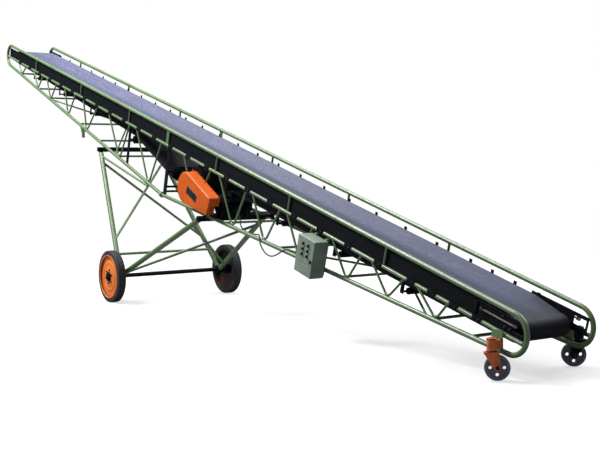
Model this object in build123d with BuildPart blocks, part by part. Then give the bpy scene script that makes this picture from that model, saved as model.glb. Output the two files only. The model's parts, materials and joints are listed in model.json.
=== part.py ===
"""Mobile inclined belt conveyor: a tube truss on two road wheels and two swivel casters.

The truss stands tilted over its wheels. Lengths are in millimetres, +Z is up, the wheels stand on
Z = 0, +X points to the low feeding end (the tail) and the near side is -Y.
A place in the truss is written as (s, w): s runs along the slope towards the tail, w stands square
to it and points up, and both start at the middle of the truss.
"""
import os
from math import asin, atan2, cos, hypot, radians, sin, sqrt, tan

from build123d import *

os.makedirs("parts", exist_ok=True)

# Truss: driving sizes
incline_deg = 15.7
middle_height = 1910
truss_length = 11940
truss_width = 704
loop_radius = 157
rail_diameter = 42
chord_depth = 636
splice_half = 14
splice_diameter = 66
measured_half = 5792

# Middle chord
middle_drop = 31
middle_diameter = 34
weld_gap = 0.3

# Bent web rods, rail posts and ties
web_diameter = 22
web_bend_radius = 55
post_diameter = 24
tie_diameter = 26
splice_post_width = 60
splice_post_thickness = 10
strut_diameter = 28

# Idler frames and rolls
idler_pitch = 450
idler_count = 23
first_idler = -5280
loading_pitch = 270
loading_count = 3
roll_diameter = 60
roll_gap = 8
trough_deg = 30
frame_width = 40
frame_foot_width = 92
frame_thickness = 6
frame_drop = 26
frame_lip = 36
arm_thickness = 6
arm_width = 34
arm_rise = 22
board_thickness = 3
board_top = 133

# Return rolls
return_stations = (-4700, -3600, -2400, 2500, 3500, 4500)
return_roll_length = 530
spindle_diameter = 20
bracket_width = 44
bracket_thickness = 6

# Belt
belt_width = 500
belt_thickness = 10
belt_flat_width = 200
belt_seat_gap = 0.3
belt_flat_height = 49
transition_length = 260
flat_lead = 20

# End pulleys and their bearings
pulley_diameter = 160
pulley_width = 540
shaft_diameter = 40
head_pulley_s = -5790
tail_pulley_s = 5720
pulley_drop = 16
bearing_half = 38
bearing_gap = 12
shaft_clearance = 0.3
end_plate_thickness = 8
end_plate_top = 105
end_plate_long = 420
end_plate_reach = 106
window_low = 12
window_high = 76
screw_diameter = 16
screw_w = 57
screw_length = 350

# Drive and bend rollers
bend_roller_diameter = 100
snub_roller_diameter = 120
drum_diameter = 300
head_bend_place = (-1100, -235)
snub_place = (20, -350)
drum_place = (820, -300)
tail_bend_place = (1400, -255)
motor_place = (1290, -385)
motor_diameter = 196
motor_length = 330
motor_lift = 4
base_half = 66
foot_half = 60
terminal_length = 60
guard_thickness = 120
guard_gap = 8
guard_rim = 14
guard_rim_thickness = 5

# Road wheels and axle
wheel_diameter = 626
tyre_width = 100
wheel_track = 1590
axle_x = -660
axle_diameter = 50
disc_diameter = 514
hub_diameter = 120
wheel_clearance = 0.3

# Legs of the undercarriage
leg_diameter = 60
brace_diameter = 32
front_top_x = -1830
rear_top_x = 920
leg_top_y = 415
leg_inset = 60
collar_diameter = 96
collar_length = 84
beam_size = 50
beam_overhang = 40
seat_gap = 0.3
crossbar_share = 0.16
front_brace_share = 0.27
rear_brace_share = 0.1
brace_top_share = 0.9

# Casters
caster_wheel_diameter = 190
caster_wheel_width = 40
caster_x = 5490
caster_y = 470
caster_trail = 42
caster_swivel_deg = 52
caster_tube_diameter = 72
caster_stem_diameter = 34
caster_plate_width = 115
caster_plate_shift = 35
caster_plate_thickness = 8

# Control box
box_s = 3345
box_w = -238
box_length = 270
box_height = 350
box_depth = 126
box_wall = 3
box_gap = 30
door_thickness = 22
door_clearance = 1
hinge_out = 7
hinge_barrel = 12
hinge_pin = 5
hinge_offset = 110
knuckle_length = 24
rail_half = 15
gland_diameter = 40
gland_bore = 25
gland_length = 30
button_diameter = 26
button_length = 14
cable_diameter = 14

# Socket for a prop under the near lower chord
socket_s = -2560
socket_diameter = 42
socket_bore = 33
socket_length = 110

# Sizes that follow
slope = radians(incline_deg)
along = Vector(cos(slope), 0, -sin(slope))
upright = Vector(sin(slope), 0, cos(slope))
half_width = truss_width / 2
tube_radius = rail_diameter / 2
tube_outer = half_width + tube_radius
tube_inner = half_width - tube_radius
straight_half = truss_length / 2 - loop_radius - tube_radius
rail_w = loop_radius
middle_radius = middle_diameter / 2
middle_top = -middle_drop + middle_radius
middle_inner = half_width - middle_radius
chord_rise = (chord_depth - rail_w) / straight_half
wheel_radius = wheel_diameter / 2
caster_radius = caster_wheel_diameter / 2
sides = {"near": -1, "far": 1}
ends = {"head": -1, "tail": 1}
truss_middle = Plane(origin=(0, 0, middle_height), x_dir=along, z_dir=(0, -1, 0))


def spot(s, w, y=0.0):
    """World place of a truss point."""
    return Vector(0, y, middle_height) + along * s + upright * w


def station(measured):
    """Station of something along the truss; it keeps its share of the truss length."""
    return measured * straight_half / measured_half


def truss_face(y=0.0):
    """Plane along the truss at a given Y; its sketches are drawn in (s, w)."""
    return truss_middle.offset(-y)


def cross_face(s):
    """Plane square across the truss; its sketches are drawn in (y, w)."""
    return Plane(origin=spot(s, 0), x_dir=(0, 1, 0), z_dir=along)


def chord_w(s):
    """Height w of the lower chord's axis at a station s."""
    return -chord_depth + chord_rise * abs(s)


def add_bar(start, finish, diameter, mode=Mode.ADD):
    """Straight round bar between two places."""
    axis = finish - start
    with BuildSketch(Plane(origin=start, z_dir=axis)) as section:
        Circle(diameter / 2)
    extrude(section.sketch, amount=axis.length, mode=mode)


def add_block(s_range, w_range, y_range, mode=Mode.ADD):
    """Block with its edges along the truss axes."""
    with BuildSketch(truss_face(max(y_range))) as outline:
        with Locations(((s_range[0] + s_range[1]) / 2, (w_range[0] + w_range[1]) / 2)):
            Rectangle(abs(s_range[1] - s_range[0]), abs(w_range[1] - w_range[0]))
    extrude(outline.sketch, amount=abs(y_range[1] - y_range[0]), mode=mode)


def add_roller(place, diameter, y_low, y_high, mode=Mode.ADD):
    """Cylinder along Y at a place (s, w)."""
    add_bar(spot(*place, y_low), spot(*place, y_high), diameter, mode)


def cut_tubes(clear, rails=False, middles=False, lowers=False):
    """Take the truss tubes out of what has been made, with a gap round them."""
    for sign in sides.values():
        y = sign * half_width
        if rails:
            add_bar(spot(-straight_half, rail_w, y), spot(straight_half, rail_w, y),
                    rail_diameter + 2 * clear, Mode.SUBTRACT)
        if middles:
            add_bar(spot(-straight_half, -middle_drop, y), spot(straight_half, -middle_drop, y),
                    middle_diameter + 2 * clear, Mode.SUBTRACT)
        if lowers:
            for direction in ends.values():
                add_bar(spot(0, -chord_depth, y), spot(direction * straight_half, -rail_w, y),
                        rail_diameter + 2 * clear, Mode.SUBTRACT)


def save(piece, name):
    """Label one finished sub-part and write it to its own file."""
    piece.part.label = name
    export_step(piece.part, f"parts/{name}.step")


# Top rails and the end loops that bring them round to the lower chords
with BuildPart() as rails:
    for sign in sides.values():
        add_bar(spot(-straight_half, rail_w, sign * half_width),
                spot(straight_half, rail_w, sign * half_width), rail_diameter)
save(rails, "top_rails")
with BuildPart() as loops:
    for direction in ends.values():
        tip = direction * straight_half
        for sign in sides.values():
            with BuildLine(truss_face(sign * half_width)) as bend:
                ThreePointArc((tip, rail_w), (tip + direction * loop_radius, 0), (tip, -rail_w))
            with BuildSketch(Plane(origin=bend.line @ 0, z_dir=bend.line % 0)) as section:
                Circle(tube_radius)
            sweep(section.sketch, path=bend.line)
save(loops, "end_loops")

# Lower chords, straight from each end loop down to the splice at mid-length
with BuildPart() as chords:
    for direction in ends.values():
        for sign in sides.values():
            high = spot(direction * straight_half, -rail_w)
            low = spot(direction * splice_half, chord_w(splice_half))
            with BuildSketch(cross_face(direction * straight_half)) as section:
                with Locations((sign * half_width, -rail_w)):
                    Circle(tube_radius)
            run = low - high
            extrude(section.sketch, amount=run.length, dir=run.normalized())
save(chords, "lower_chords")

# Splice sleeves of the lower chords at mid-length
with BuildPart() as splice:
    for sign in sides.values():
        add_bar(spot(-splice_half, -chord_depth, sign * half_width),
                spot(splice_half, -chord_depth, sign * half_width), splice_diameter)
save(splice, "lower_splice")

# Middle chords
loop_inner = loop_radius - tube_radius
middle_half = straight_half + sqrt(loop_inner ** 2 - (middle_drop + middle_radius) ** 2) - weld_gap
with BuildPart() as middles:
    for sign in sides.values():
        add_bar(spot(-middle_half, -middle_drop, sign * half_width),
                spot(middle_half, -middle_drop, sign * half_width), middle_diameter)
save(middles, "middle_chords")

# Web rods: each pair meets in a round bend on the lower chord
web_stations = [
    # bend, head top, tail top
    (-5210, -5420, -5030),
    (-4457, -4680, -4270),
    (-3888, -4110, -3690),
    (-3148, -3356, -2938),
    (-2427, -2649, -2136),
    (-1305, -1758, -1077),
    (-399, -871, -147),
    (838, 441, 1101),
    (1687, 1292, 1885),
    (2337, 2006, 2555),
    (2981, 2675, 3138),
    (3752, 3456, 3923),
    (4346, 4058, 4532),
    (4962, 4691, 5090),
]
web_radius = web_diameter / 2
chord_tilt = atan2(chord_depth - rail_w, straight_half)
bend_lift = (tube_radius + web_radius + weld_gap + web_bend_radius) / cos(chord_tilt)
bend_passes = 6


def bend_places(bend_s, head_s, tail_s):
    """Corner of a pair's two straights, and the middle of the round bend drawn in that corner."""
    centre_w = chord_w(bend_s) + bend_lift
    corner = Vector(bend_s, centre_w - web_bend_radius)
    for _ in range(bend_passes):
        to_head = (Vector(head_s, -middle_drop) - corner).normalized()
        to_tail = (Vector(tail_s, -middle_drop) - corner).normalized()
        halfway = (to_head + to_tail).normalized()
        reach = web_bend_radius / abs(halfway.cross(to_head).length)
        corner = Vector(bend_s, centre_w) - halfway * reach
    return corner, Vector(bend_s, centre_w)


with BuildPart() as webs:
    for sign in sides.values():
        for row in web_stations:
            bend_s, head_s, tail_s = [station(value) for value in row]
            corner, middle = bend_places(bend_s, head_s, tail_s)
            with BuildLine(truss_face(sign * half_width)) as route:
                FilletPolyline((head_s, -middle_drop), (corner.X, corner.Y), (tail_s, -middle_drop),
                               radius=web_bend_radius)
            with BuildSketch(Plane(origin=route.line @ 0, z_dir=route.line % 0)) as section:
                Circle(web_radius)
            sweep(section.sketch, path=route.line)
            add_block((bend_s - weld_gap / 2, bend_s + weld_gap / 2),
                      (middle.Y - web_bend_radius - web_diameter, middle.Y),
                      (sign * half_width - web_diameter, sign * half_width + web_diameter),
                      mode=Mode.SUBTRACT)
    cut_tubes(weld_gap, middles=True)
save(webs, "web_rods")

# Rail posts on the middle chords, with a plate post over the splice
post_stations = (-4590, -2746, -1110, 1207, 2691, 4238)
with BuildPart() as posts:
    for sign in sides.values():
        for place in post_stations:
            add_bar(spot(station(place), -middle_drop, sign * half_width),
                    spot(station(place), rail_w, sign * half_width), post_diameter)
        add_block((-splice_post_width / 2, splice_post_width / 2), (-middle_drop, rail_w),
                  (sign * half_width - splice_post_thickness / 2,
                   sign * half_width + splice_post_thickness / 2))
    cut_tubes(weld_gap, rails=True, middles=True)
save(posts, "rail_posts")

# Ties and wind braces between the lower chords
tie_stations = (-5300, -4457, -3969, -2729, -2000, -1371, 1500, 2600, 3679, 4941, 5390)
wind_braces = [
    # near station, far station
    (-3909, -2789),
    (-1431, -2669),
    (2660, 3619),
    (4881, 3739),
]
tie_reach = tube_inner - weld_gap
with BuildPart() as ties:
    for place in tie_stations:
        add_bar(spot(station(place), chord_w(station(place)), -tie_reach),
                spot(station(place), chord_w(station(place)), tie_reach), tie_diameter)
    for row in wind_braces:
        near_s, far_s = [station(value) for value in row]
        add_bar(spot(near_s, chord_w(near_s), -half_width), spot(far_s, chord_w(far_s), half_width),
                web_diameter)
    cut_tubes(weld_gap, lowers=True)
save(ties, "cross_ties")


def belt_route(circles, shift=0.0):
    """Tangent points of a band led round circles.

    Each circle is (s, w, radius), where the radius is negative if the band turns the other way,
    and shift moves the whole band outwards. The result has one (leave, arrive) pair a straight.
    """
    straights = []
    for index, (s1, w1, r1) in enumerate(circles):
        s2, w2, r2 = circles[(index + 1) % len(circles)]
        heading = atan2(w2 - w1, s2 - s1) + asin((r1 - r2) / hypot(s2 - s1, w2 - w1))
        right = (sin(heading), -cos(heading))
        leave = (s1 + (r1 + shift) * right[0], w1 + (r1 + shift) * right[1])
        arrive = (s2 + (r2 + shift) * right[0], w2 + (r2 + shift) * right[1])
        straights.append((leave, arrive))
    return straights


def draw_route(circles, shift=0.0):
    """Lines and arcs of a closed band in the sketch plane being used."""
    straights = belt_route(circles, shift)
    for index, (leave, arrive) in enumerate(straights):
        following = (index + 1) % len(circles)
        radius = abs(circles[following][2] + shift)
        Line(leave, arrive)
        turn_to = straights[following][0]
        centre = Vector(*circles[following][:2])
        chord_middle = (Vector(*arrive) + Vector(*turn_to)) / 2
        outwards = (chord_middle - centre).normalized()
        if following < 2:
            outwards = Vector(1 if following == 0 else -1, 0)
        crown = centre + outwards * radius
        ThreePointArc(arrive, (crown.X, crown.Y), turn_to)


# Belt: a flat band round all pulleys, whose carrying run is troughed
pulley_radius = pulley_diameter / 2
head_place = (station(head_pulley_s), -pulley_drop)
tail_place = (station(tail_pulley_s), -pulley_drop)
head_bend_place, snub_place, drum_place, tail_bend_place, motor_place = [
    (station(place[0]), place[1])
    for place in (head_bend_place, snub_place, drum_place, tail_bend_place, motor_place)]
over = belt_thickness + belt_seat_gap
belt_circles = [
    (*tail_place, pulley_radius + belt_seat_gap),
    (*head_place, pulley_radius + belt_seat_gap),
    (*head_bend_place, -bend_roller_diameter / 2 - over),
    (*snub_place, snub_roller_diameter / 2 + belt_seat_gap),
    (*drum_place, drum_diameter / 2 + belt_seat_gap),
    (*tail_bend_place, -snub_roller_diameter / 2 - over),
]
carry_head = head_place[0] + flat_lead
carry_tail = tail_place[0] - flat_lead
trough_head = carry_head + transition_length
trough_tail = carry_tail - transition_length
end_height = -pulley_drop + pulley_radius + belt_seat_gap
trough_height = belt_flat_height - belt_thickness


def draw_belt_section(angle_deg, height):
    """Outline of the belt's cross-section: a flat middle and two wings at an angle."""
    angle = radians(angle_deg)
    wing = (belt_width - belt_flat_width) / 2
    flat = belt_flat_width / 2
    rise = belt_thickness * cos(angle)
    run = belt_thickness * sin(angle)
    inner = flat - belt_thickness * tan(angle / 2)
    tip_y = flat + wing * cos(angle)
    tip_w = height + wing * sin(angle)
    Polyline((-flat, height), (flat, height), (tip_y, tip_w), (tip_y - run, tip_w + rise),
             (inner, height + belt_thickness), (-inner, height + belt_thickness),
             (run - tip_y, tip_w + rise), (-tip_y, tip_w), close=True)


nearly_flat_deg = 0.01
with BuildPart() as belt:
    with BuildSketch(truss_face(belt_width / 2)) as band:
        with BuildLine():
            draw_route(belt_circles, belt_thickness)
        make_face()
        with BuildLine():
            draw_route(belt_circles)
        make_face(mode=Mode.SUBTRACT)
        with Locations(((carry_head + carry_tail) / 2, end_height + belt_thickness)):
            Rectangle(carry_tail - carry_head, 4 * belt_thickness, mode=Mode.SUBTRACT)
    extrude(band.sketch, amount=belt_width)
    with BuildSketch(cross_face(trough_head)) as trough:
        with BuildLine():
            draw_belt_section(trough_deg, trough_height)
        make_face()
    extrude(trough.sketch, amount=trough_tail - trough_head)
    for flat_s, trough_s in ((carry_head, trough_head), (carry_tail, trough_tail)):
        with BuildSketch(cross_face(flat_s)) as flat_end:
            with BuildLine():
                draw_belt_section(nearly_flat_deg, end_height)
            make_face()
        with BuildSketch(cross_face(trough_s)) as trough_end:
            with BuildLine():
                draw_belt_section(trough_deg, trough_height)
            make_face()
        loft([flat_end.sketch.faces()[0], trough_end.sketch.faces()[0]], ruled=True)
save(belt, "belt")

# End pulleys with their shafts, and the two bearings of each
plate_outer = tube_inner - 2 * weld_gap
plate_inner = plate_outer - end_plate_thickness
bearing_outer = plate_inner - weld_gap
bearing_inner = pulley_width / 2 + bearing_gap
end_places = {"head": head_place, "tail": tail_place}
with BuildPart() as pulleys:
    for place in end_places.values():
        add_roller(place, pulley_diameter, -pulley_width / 2, pulley_width / 2)
        add_roller(place, shaft_diameter, -bearing_outer, bearing_outer)
save(pulleys, "end_pulleys")
with BuildPart() as bearings:
    for place in end_places.values():
        for sign in sides.values():
            add_block((place[0] - bearing_half, place[0] + bearing_half),
                      (place[1] - bearing_half, place[1] + bearing_half),
                      (sign * bearing_inner, sign * bearing_outer))
        add_roller(place, shaft_diameter + 2 * shaft_clearance, -half_width, half_width,
                   mode=Mode.SUBTRACT)
save(bearings, "end_bearings")

# Idler stations, rolls and the heights that follow from them
idler_stations = [station(first_idler + idler_pitch * number) for number in range(idler_count)]
last_idler = first_idler + idler_pitch * (idler_count - 1)
idler_stations += [station(last_idler + loading_pitch * (number + 1))
                   for number in range(loading_count)]
trough_angle = radians(trough_deg)
roll_radius = roll_diameter / 2
roll_sink = roll_radius + belt_seat_gap
roll_w = trough_height - roll_sink
centre_roll_half = belt_flat_width / 2 - roll_gap / 2
side_roll_start = 18
side_roll_end = (belt_width - belt_flat_width) / 2
corner_y = belt_flat_width / 2
base_w = roll_w - roll_radius - frame_drop / 2
base_top = base_w + frame_thickness / 2
foot_low = middle_top + weld_gap
foot_high = foot_low + frame_thickness


def place_on_wing(distance, sink):
    """(y, w) at a distance out along the belt's far wing and a depth below its underside."""
    y = corner_y + distance * cos(trough_angle) + sink * sin(trough_angle)
    w = trough_height + distance * sin(trough_angle) - sink * cos(trough_angle)
    return (y, w)


def return_height(s):
    """Underside of the returning belt near one of the two ends."""
    leave, arrive = belt_route(belt_circles, belt_thickness)[1 if s < 0 else 5]
    return leave[1] + (arrive[1] - leave[1]) * (s - leave[0]) / (arrive[0] - leave[0])


with BuildPart() as rolls:
    for s in idler_stations:
        add_roller((s, roll_w), roll_diameter, -centre_roll_half, centre_roll_half)
        for sign in sides.values():
            inner_y, inner_w = place_on_wing(side_roll_start, roll_sink)
            outer_y, outer_w = place_on_wing(side_roll_end, roll_sink)
            add_bar(spot(s, inner_w, sign * inner_y), spot(s, outer_w, sign * outer_y),
                    roll_diameter)
    for measured in return_stations:
        s = station(measured)
        add_roller((s, return_height(s) - 2 * belt_seat_gap - roll_radius), roll_diameter,
                   -return_roll_length / 2, return_roll_length / 2)
save(rolls, "idler_rolls")

# Idler frames: a cranked strip across, with a wide foot and lip over each middle chord
lip_inner = half_width + middle_radius + weld_gap
lip_outer = lip_inner + frame_thickness
lip_low = middle_top - frame_lip
foot_inner = middle_inner - 16
crank = 15
wide_half = frame_foot_width / 2
with BuildPart() as one_frame:
    with BuildSketch(cross_face(-frame_width / 2)) as strip:
        with BuildLine():
            Polyline((-lip_inner, foot_low), (-foot_inner, foot_low),
                     (-foot_inner + crank, base_top - frame_thickness),
                     (foot_inner - crank, base_top - frame_thickness),
                     (foot_inner, foot_low), (lip_inner, foot_low), (lip_inner, foot_high),
                     (foot_inner - frame_thickness / 2, foot_high),
                     (foot_inner - crank - frame_thickness / 2, base_top),
                     (-foot_inner + crank + frame_thickness / 2, base_top),
                     (-foot_inner + frame_thickness / 2, foot_high), (-lip_inner, foot_high),
                     close=True)
        make_face()
    extrude(strip.sketch, amount=frame_width)
    for sign in sides.values():
        foot_s = (-wide_half, wide_half)
        add_block(foot_s, (foot_low, foot_high), (sign * (middle_inner - 2), sign * lip_outer))
        add_block(foot_s, (lip_low, foot_high), (sign * lip_inner, sign * lip_outer))
with BuildPart() as frames:
    with Locations(*[along * s for s in idler_stations]):
        add(one_frame.part)
save(frames, "idler_frames")

# Brackets that hold the rolls: on each idler frame, and under the middle chords
spindle = 14
inner_stand_y = (centre_roll_half + place_on_wing(side_roll_start, roll_sink)[0]) / 2 - 9
outer_arm_y = place_on_wing(side_roll_end, roll_sink)[0] + roll_radius * sin(trough_angle) + 4
arm_low = base_top + weld_gap
arm_high = trough_height + side_roll_end * sin(trough_angle) + arm_rise


def add_stub(start, finish):
    """Flat-sided end of a roll's spindle at s = 0, from one (y, w) to another."""
    way = Vector(0, finish[0] - start[0], 0) + upright * (finish[1] - start[1])
    with BuildSketch(Plane(origin=spot(0, start[1], start[0]), x_dir=along, z_dir=way)) as section:
        Rectangle(spindle, spindle)
    extrude(section.sketch, amount=way.length)


with BuildPart() as one_bracket_set:
    for sign in sides.values():
        arm_s = (-arm_width / 2, arm_width / 2)
        add_block(arm_s, (arm_low, roll_w + spindle), (sign * (inner_stand_y - arm_thickness / 2),
                                                       sign * (inner_stand_y + arm_thickness / 2)))
        add_stub((sign * inner_stand_y, roll_w), (sign * (centre_roll_half + weld_gap), roll_w))
        end_y, end_w = place_on_wing(side_roll_start - weld_gap, roll_sink)
        run = (end_y - inner_stand_y) / cos(trough_angle)
        add_stub((sign * inner_stand_y, end_w - run * sin(trough_angle)), (sign * end_y, end_w))
        add_block(arm_s, (arm_low, arm_high), (sign * outer_arm_y,
                                               sign * (outer_arm_y + arm_thickness)))
        end_y, end_w = place_on_wing(side_roll_end + weld_gap, roll_sink)
        run = (outer_arm_y + arm_thickness / 2 - end_y) / cos(trough_angle)
        add_stub((sign * end_y, end_w),
                 (sign * (end_y + run * cos(trough_angle)), end_w + run * sin(trough_angle)))
with BuildPart() as brackets:
    with Locations(*[along * s for s in idler_stations]):
        add(one_bracket_set.part)
    for measured in return_stations:
        s = station(measured)
        axis_w = return_height(s) - 2 * belt_seat_gap - roll_radius
        for sign in sides.values():
            bracket_outer = middle_inner - weld_gap
            add_block((s - bracket_width / 2, s + bracket_width / 2),
                      (axis_w - spindle, -middle_drop + middle_radius / 2),
                      (sign * (bracket_outer - bracket_thickness), sign * bracket_outer))
            add_roller((s, axis_w), spindle_diameter, sign * (return_roll_length / 2 + weld_gap),
                       sign * (bracket_outer - bracket_thickness / 2))
save(brackets, "roll_brackets")

# Side boards between the rail posts and the idlers
board_outer = half_width - post_diameter / 2 - weld_gap
with BuildPart() as boards:
    for sign in sides.values():
        add_block((station(head_pulley_s + end_plate_long),
                   idler_stations[-1] - frame_foot_width / 2),
                  (foot_high + weld_gap, board_top),
                  (sign * (board_outer - board_thickness), sign * board_outer))
save(boards, "side_boards")

# End plates that carry the bearings; those at the tail have a window and take-up lugs
plate_low = -middle_drop - middle_radius / 2
lug_s = (tail_place[0] - screw_length * 0.78, tail_place[0] + screw_length * 0.22)
lug_half = 9
screw_y = plate_outer + screw_diameter / 2 + 1
with BuildPart() as plates:
    for end, direction in ends.items():
        place_s = end_places[end][0]
        reach = sorted((place_s - direction * end_plate_long,
                        direction * (middle_half - lug_half)))
        for sign in sides.values():
            add_block(reach, (plate_low, end_plate_top), (sign * plate_inner, sign * plate_outer))
            for pad_s in reach:
                inwards = 40 if pad_s == reach[0] else -40
                add_block((pad_s, pad_s + inwards), (plate_low, -middle_drop + middle_radius / 2),
                          (sign * plate_outer, sign * (middle_inner - weld_gap)))
    for sign in sides.values():
        for s in lug_s:
            add_block((s - lug_half, s + lug_half),
                      (screw_w - screw_diameter, screw_w + screw_diameter),
                      (sign * plate_outer, sign * (screw_y + screw_diameter / 2 + 3)))
        add_bar(spot(lug_s[0] - screw_length, screw_w, sign * screw_y),
                spot(lug_s[1] + screw_length, screw_w, sign * screw_y),
                screw_diameter + 2 * weld_gap, mode=Mode.SUBTRACT)
    add_block((tail_place[0] + bearing_half + 8, middle_half - 3 * lug_half),
              (window_low, window_high), (-half_width, half_width), mode=Mode.SUBTRACT)
    for s in idler_stations[-2:]:
        add_block((s - frame_foot_width / 2 - weld_gap, s + frame_foot_width / 2 + weld_gap),
                  (foot_low - weld_gap, foot_high + weld_gap), (-half_width, half_width),
                  mode=Mode.SUBTRACT)
save(plates, "end_plates")
with BuildPart() as screws:
    for sign in sides.values():
        add_bar(spot(lug_s[0] - 2 * lug_half, screw_w, sign * screw_y),
                spot(lug_s[1] + 2 * lug_half, screw_w, sign * screw_y), screw_diameter)
save(screws, "take_up_screws")

# Drive drum and bend rollers, on shafts that reach to cheek plates
roller_shaft = 30
cheek_thickness = 8
cheek_y = plate_outer
roller_places = {"head_bend": (head_bend_place, bend_roller_diameter),
                 "snub": (snub_place, snub_roller_diameter),
                 "tail_bend": (tail_bend_place, snub_roller_diameter)}
with BuildPart() as rollers:
    for place, diameter in roller_places.values():
        add_roller(place, diameter, -belt_width / 2 - 10, belt_width / 2 + 10)
        add_roller(place, roller_shaft, -cheek_y + 2, cheek_y - 2)
save(rollers, "bend_rollers")
guard_face = -tube_outer - guard_gap
shaft_end = guard_face - guard_thickness / 2
with BuildPart() as drum:
    add_roller(drum_place, drum_diameter, -belt_width / 2 - 15, belt_width / 2 + 15)
    add_roller(drum_place, shaft_diameter, shaft_end + 10, cheek_y - 2)
save(drum, "drive_drum")

# Motor with its cowl, terminal box and shaft
motor_start = -half_width + 40
motor_radius = motor_diameter / 2
cowl_length = 46
terminal_low = motor_place[1] - 55
terminal_high = motor_place[1] + 40
terminal_s = motor_place[0] + motor_radius + terminal_length - 8
terminal_y = (-235, -125)
with BuildPart() as motor:
    add_roller(motor_place, motor_diameter, motor_start, motor_start + motor_length)
    add_roller(motor_place, motor_diameter - 20, motor_start + motor_length,
               motor_start + motor_length + cowl_length)
    add_roller(motor_place, shaft_diameter, shaft_end + 10, motor_start)
    add_block((motor_place[0] + motor_radius / 2, terminal_s), (terminal_low, terminal_high),
              terminal_y)
save(motor, "motor")

# Base that carries the motor on both lower chords
foot_top = motor_place[1] - motor_radius * cos(radians(40))
base_height = motor_place[1] - motor_radius - motor_lift
base_bottom = chord_w(motor_place[0] - base_half) + tube_radius
with BuildPart() as base:
    add_block((motor_place[0] - base_half, motor_place[0] + base_half), (base_bottom, base_height),
              (-tube_outer, tube_outer))
    add_block((motor_place[0] - foot_half, motor_place[0] + foot_half), (base_height, foot_top),
              (motor_start + 30, motor_start + motor_length - 30))
    add_roller(motor_place, motor_diameter + 2 * seat_gap, -half_width, half_width,
               mode=Mode.SUBTRACT)
    cut_tubes(seat_gap, lowers=True)
save(base, "motor_base")

# Cheek plates that carry the drive rollers from the middle and lower chords
bar_heights = (0.16, 0.36)
with BuildPart() as cheeks:
    for sign in sides.values():
        for place, width in ((head_bend_place, 60), (snub_place, 76), (drum_place, 120),
                             (tail_bend_place, 76)):
            add_block((place[0] - width / 2, place[0] + width / 2),
                      (chord_w(place[0]), -middle_drop + middle_radius / 2),
                      (sign * cheek_y, sign * (cheek_y - cheek_thickness)))
            add_block((place[0] - width / 2, place[0] + width / 2),
                      (plate_low, -middle_drop + middle_radius / 2),
                      (sign * cheek_y, sign * (middle_inner - weld_gap)))
    for share in bar_heights:
        bar_w = -chord_depth + share * (snub_place[1] + chord_depth)
        add_bar(spot(snub_place[0], bar_w, -cheek_y + cheek_thickness / 2),
                spot(snub_place[0], bar_w, cheek_y - cheek_thickness / 2), tie_diameter)
    for place in (head_bend_place, snub_place, tail_bend_place):
        add_roller(place, roller_shaft + 2 * shaft_clearance, -half_width, half_width,
                   mode=Mode.SUBTRACT)
    add_roller(drum_place, shaft_diameter + 2 * shaft_clearance, -half_width, half_width,
               mode=Mode.SUBTRACT)
    for sign in sides.values():
        add_bar(spot(-splice_half - weld_gap, -chord_depth, sign * half_width),
                spot(splice_half + weld_gap, -chord_depth, sign * half_width),
                splice_diameter + 2 * weld_gap, mode=Mode.SUBTRACT)
save(cheeks, "drive_cheeks")

# Guard over the drive belt, outside the near truss face
guard_big = 175
guard_corner = 32
guard_high_corner = (motor_place[0] + 85, motor_place[1] + 90)
guard_low_corner = (motor_place[0] + 50, motor_place[1] - 50)
guard_centre = (drum_place[0], drum_place[1] - 12)
guard_notch_drop = 62
guard_lip = 24


def draw_guard(grow=0.0):
    """Outline of the guard: round over the drum and cut square past the motor."""
    with BuildSketch(truss_face(guard_face)) as outline:
        with Locations(guard_centre):
            Circle(guard_big + grow)
        with Locations(guard_high_corner, guard_low_corner):
            Circle(guard_corner + grow)
        make_hull()
    return outline.sketch


with BuildPart() as guard:
    extrude(draw_guard(), amount=guard_thickness)
    chamfer(guard.faces().sort_by(Axis.Y)[0].edges(), 6)
    extrude(draw_guard(guard_rim), amount=guard_rim_thickness)
    add_block((guard_low_corner[0] - 15, guard_high_corner[0] + guard_big),
              (guard_low_corner[1] - guard_big, guard_high_corner[1] - guard_notch_drop),
              (guard_face - guard_thickness + guard_lip, guard_face + 1), mode=Mode.SUBTRACT)
    for place in (drum_place, motor_place):
        add_roller(place, shaft_diameter + 2, shaft_end, guard_face, mode=Mode.SUBTRACT)
save(guard, "drive_guard")

# Control box body with its door, knuckles and side gland
box_s = station(box_s)
box_back = -tube_outer - box_gap
box_front = box_back - box_depth
box_middle = box_back - box_depth / 2
hinge_s = box_s - box_length / 2 - hinge_out
hinge_y = box_front - door_clearance / 2
side_gland_w = box_w - 66
with BuildPart() as box:
    add_block((box_s - box_length / 2, box_s + box_length / 2),
              (box_w - box_height / 2, box_w + box_height / 2), (box_front, box_back))
    add_block((box_s - box_length / 2 + box_wall, box_s + box_length / 2 - box_wall),
              (box_w - box_height / 2 + box_wall, box_w + box_height / 2 - box_wall),
              (box_front, box_back - box_wall), mode=Mode.SUBTRACT)
    for offset in (-hinge_offset, hinge_offset):
        low_w = box_w + offset
        add_block((hinge_s, box_s - box_length / 2), (low_w, low_w + knuckle_length),
                  (box_front, box_front + hinge_barrel / 2))
        add_bar(spot(hinge_s, low_w, hinge_y), spot(hinge_s, low_w + knuckle_length, hinge_y),
                hinge_barrel)
        add_bar(spot(hinge_s, low_w, hinge_y), spot(hinge_s, low_w - knuckle_length, hinge_y),
                hinge_pin)
save(box, "control_box")

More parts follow.
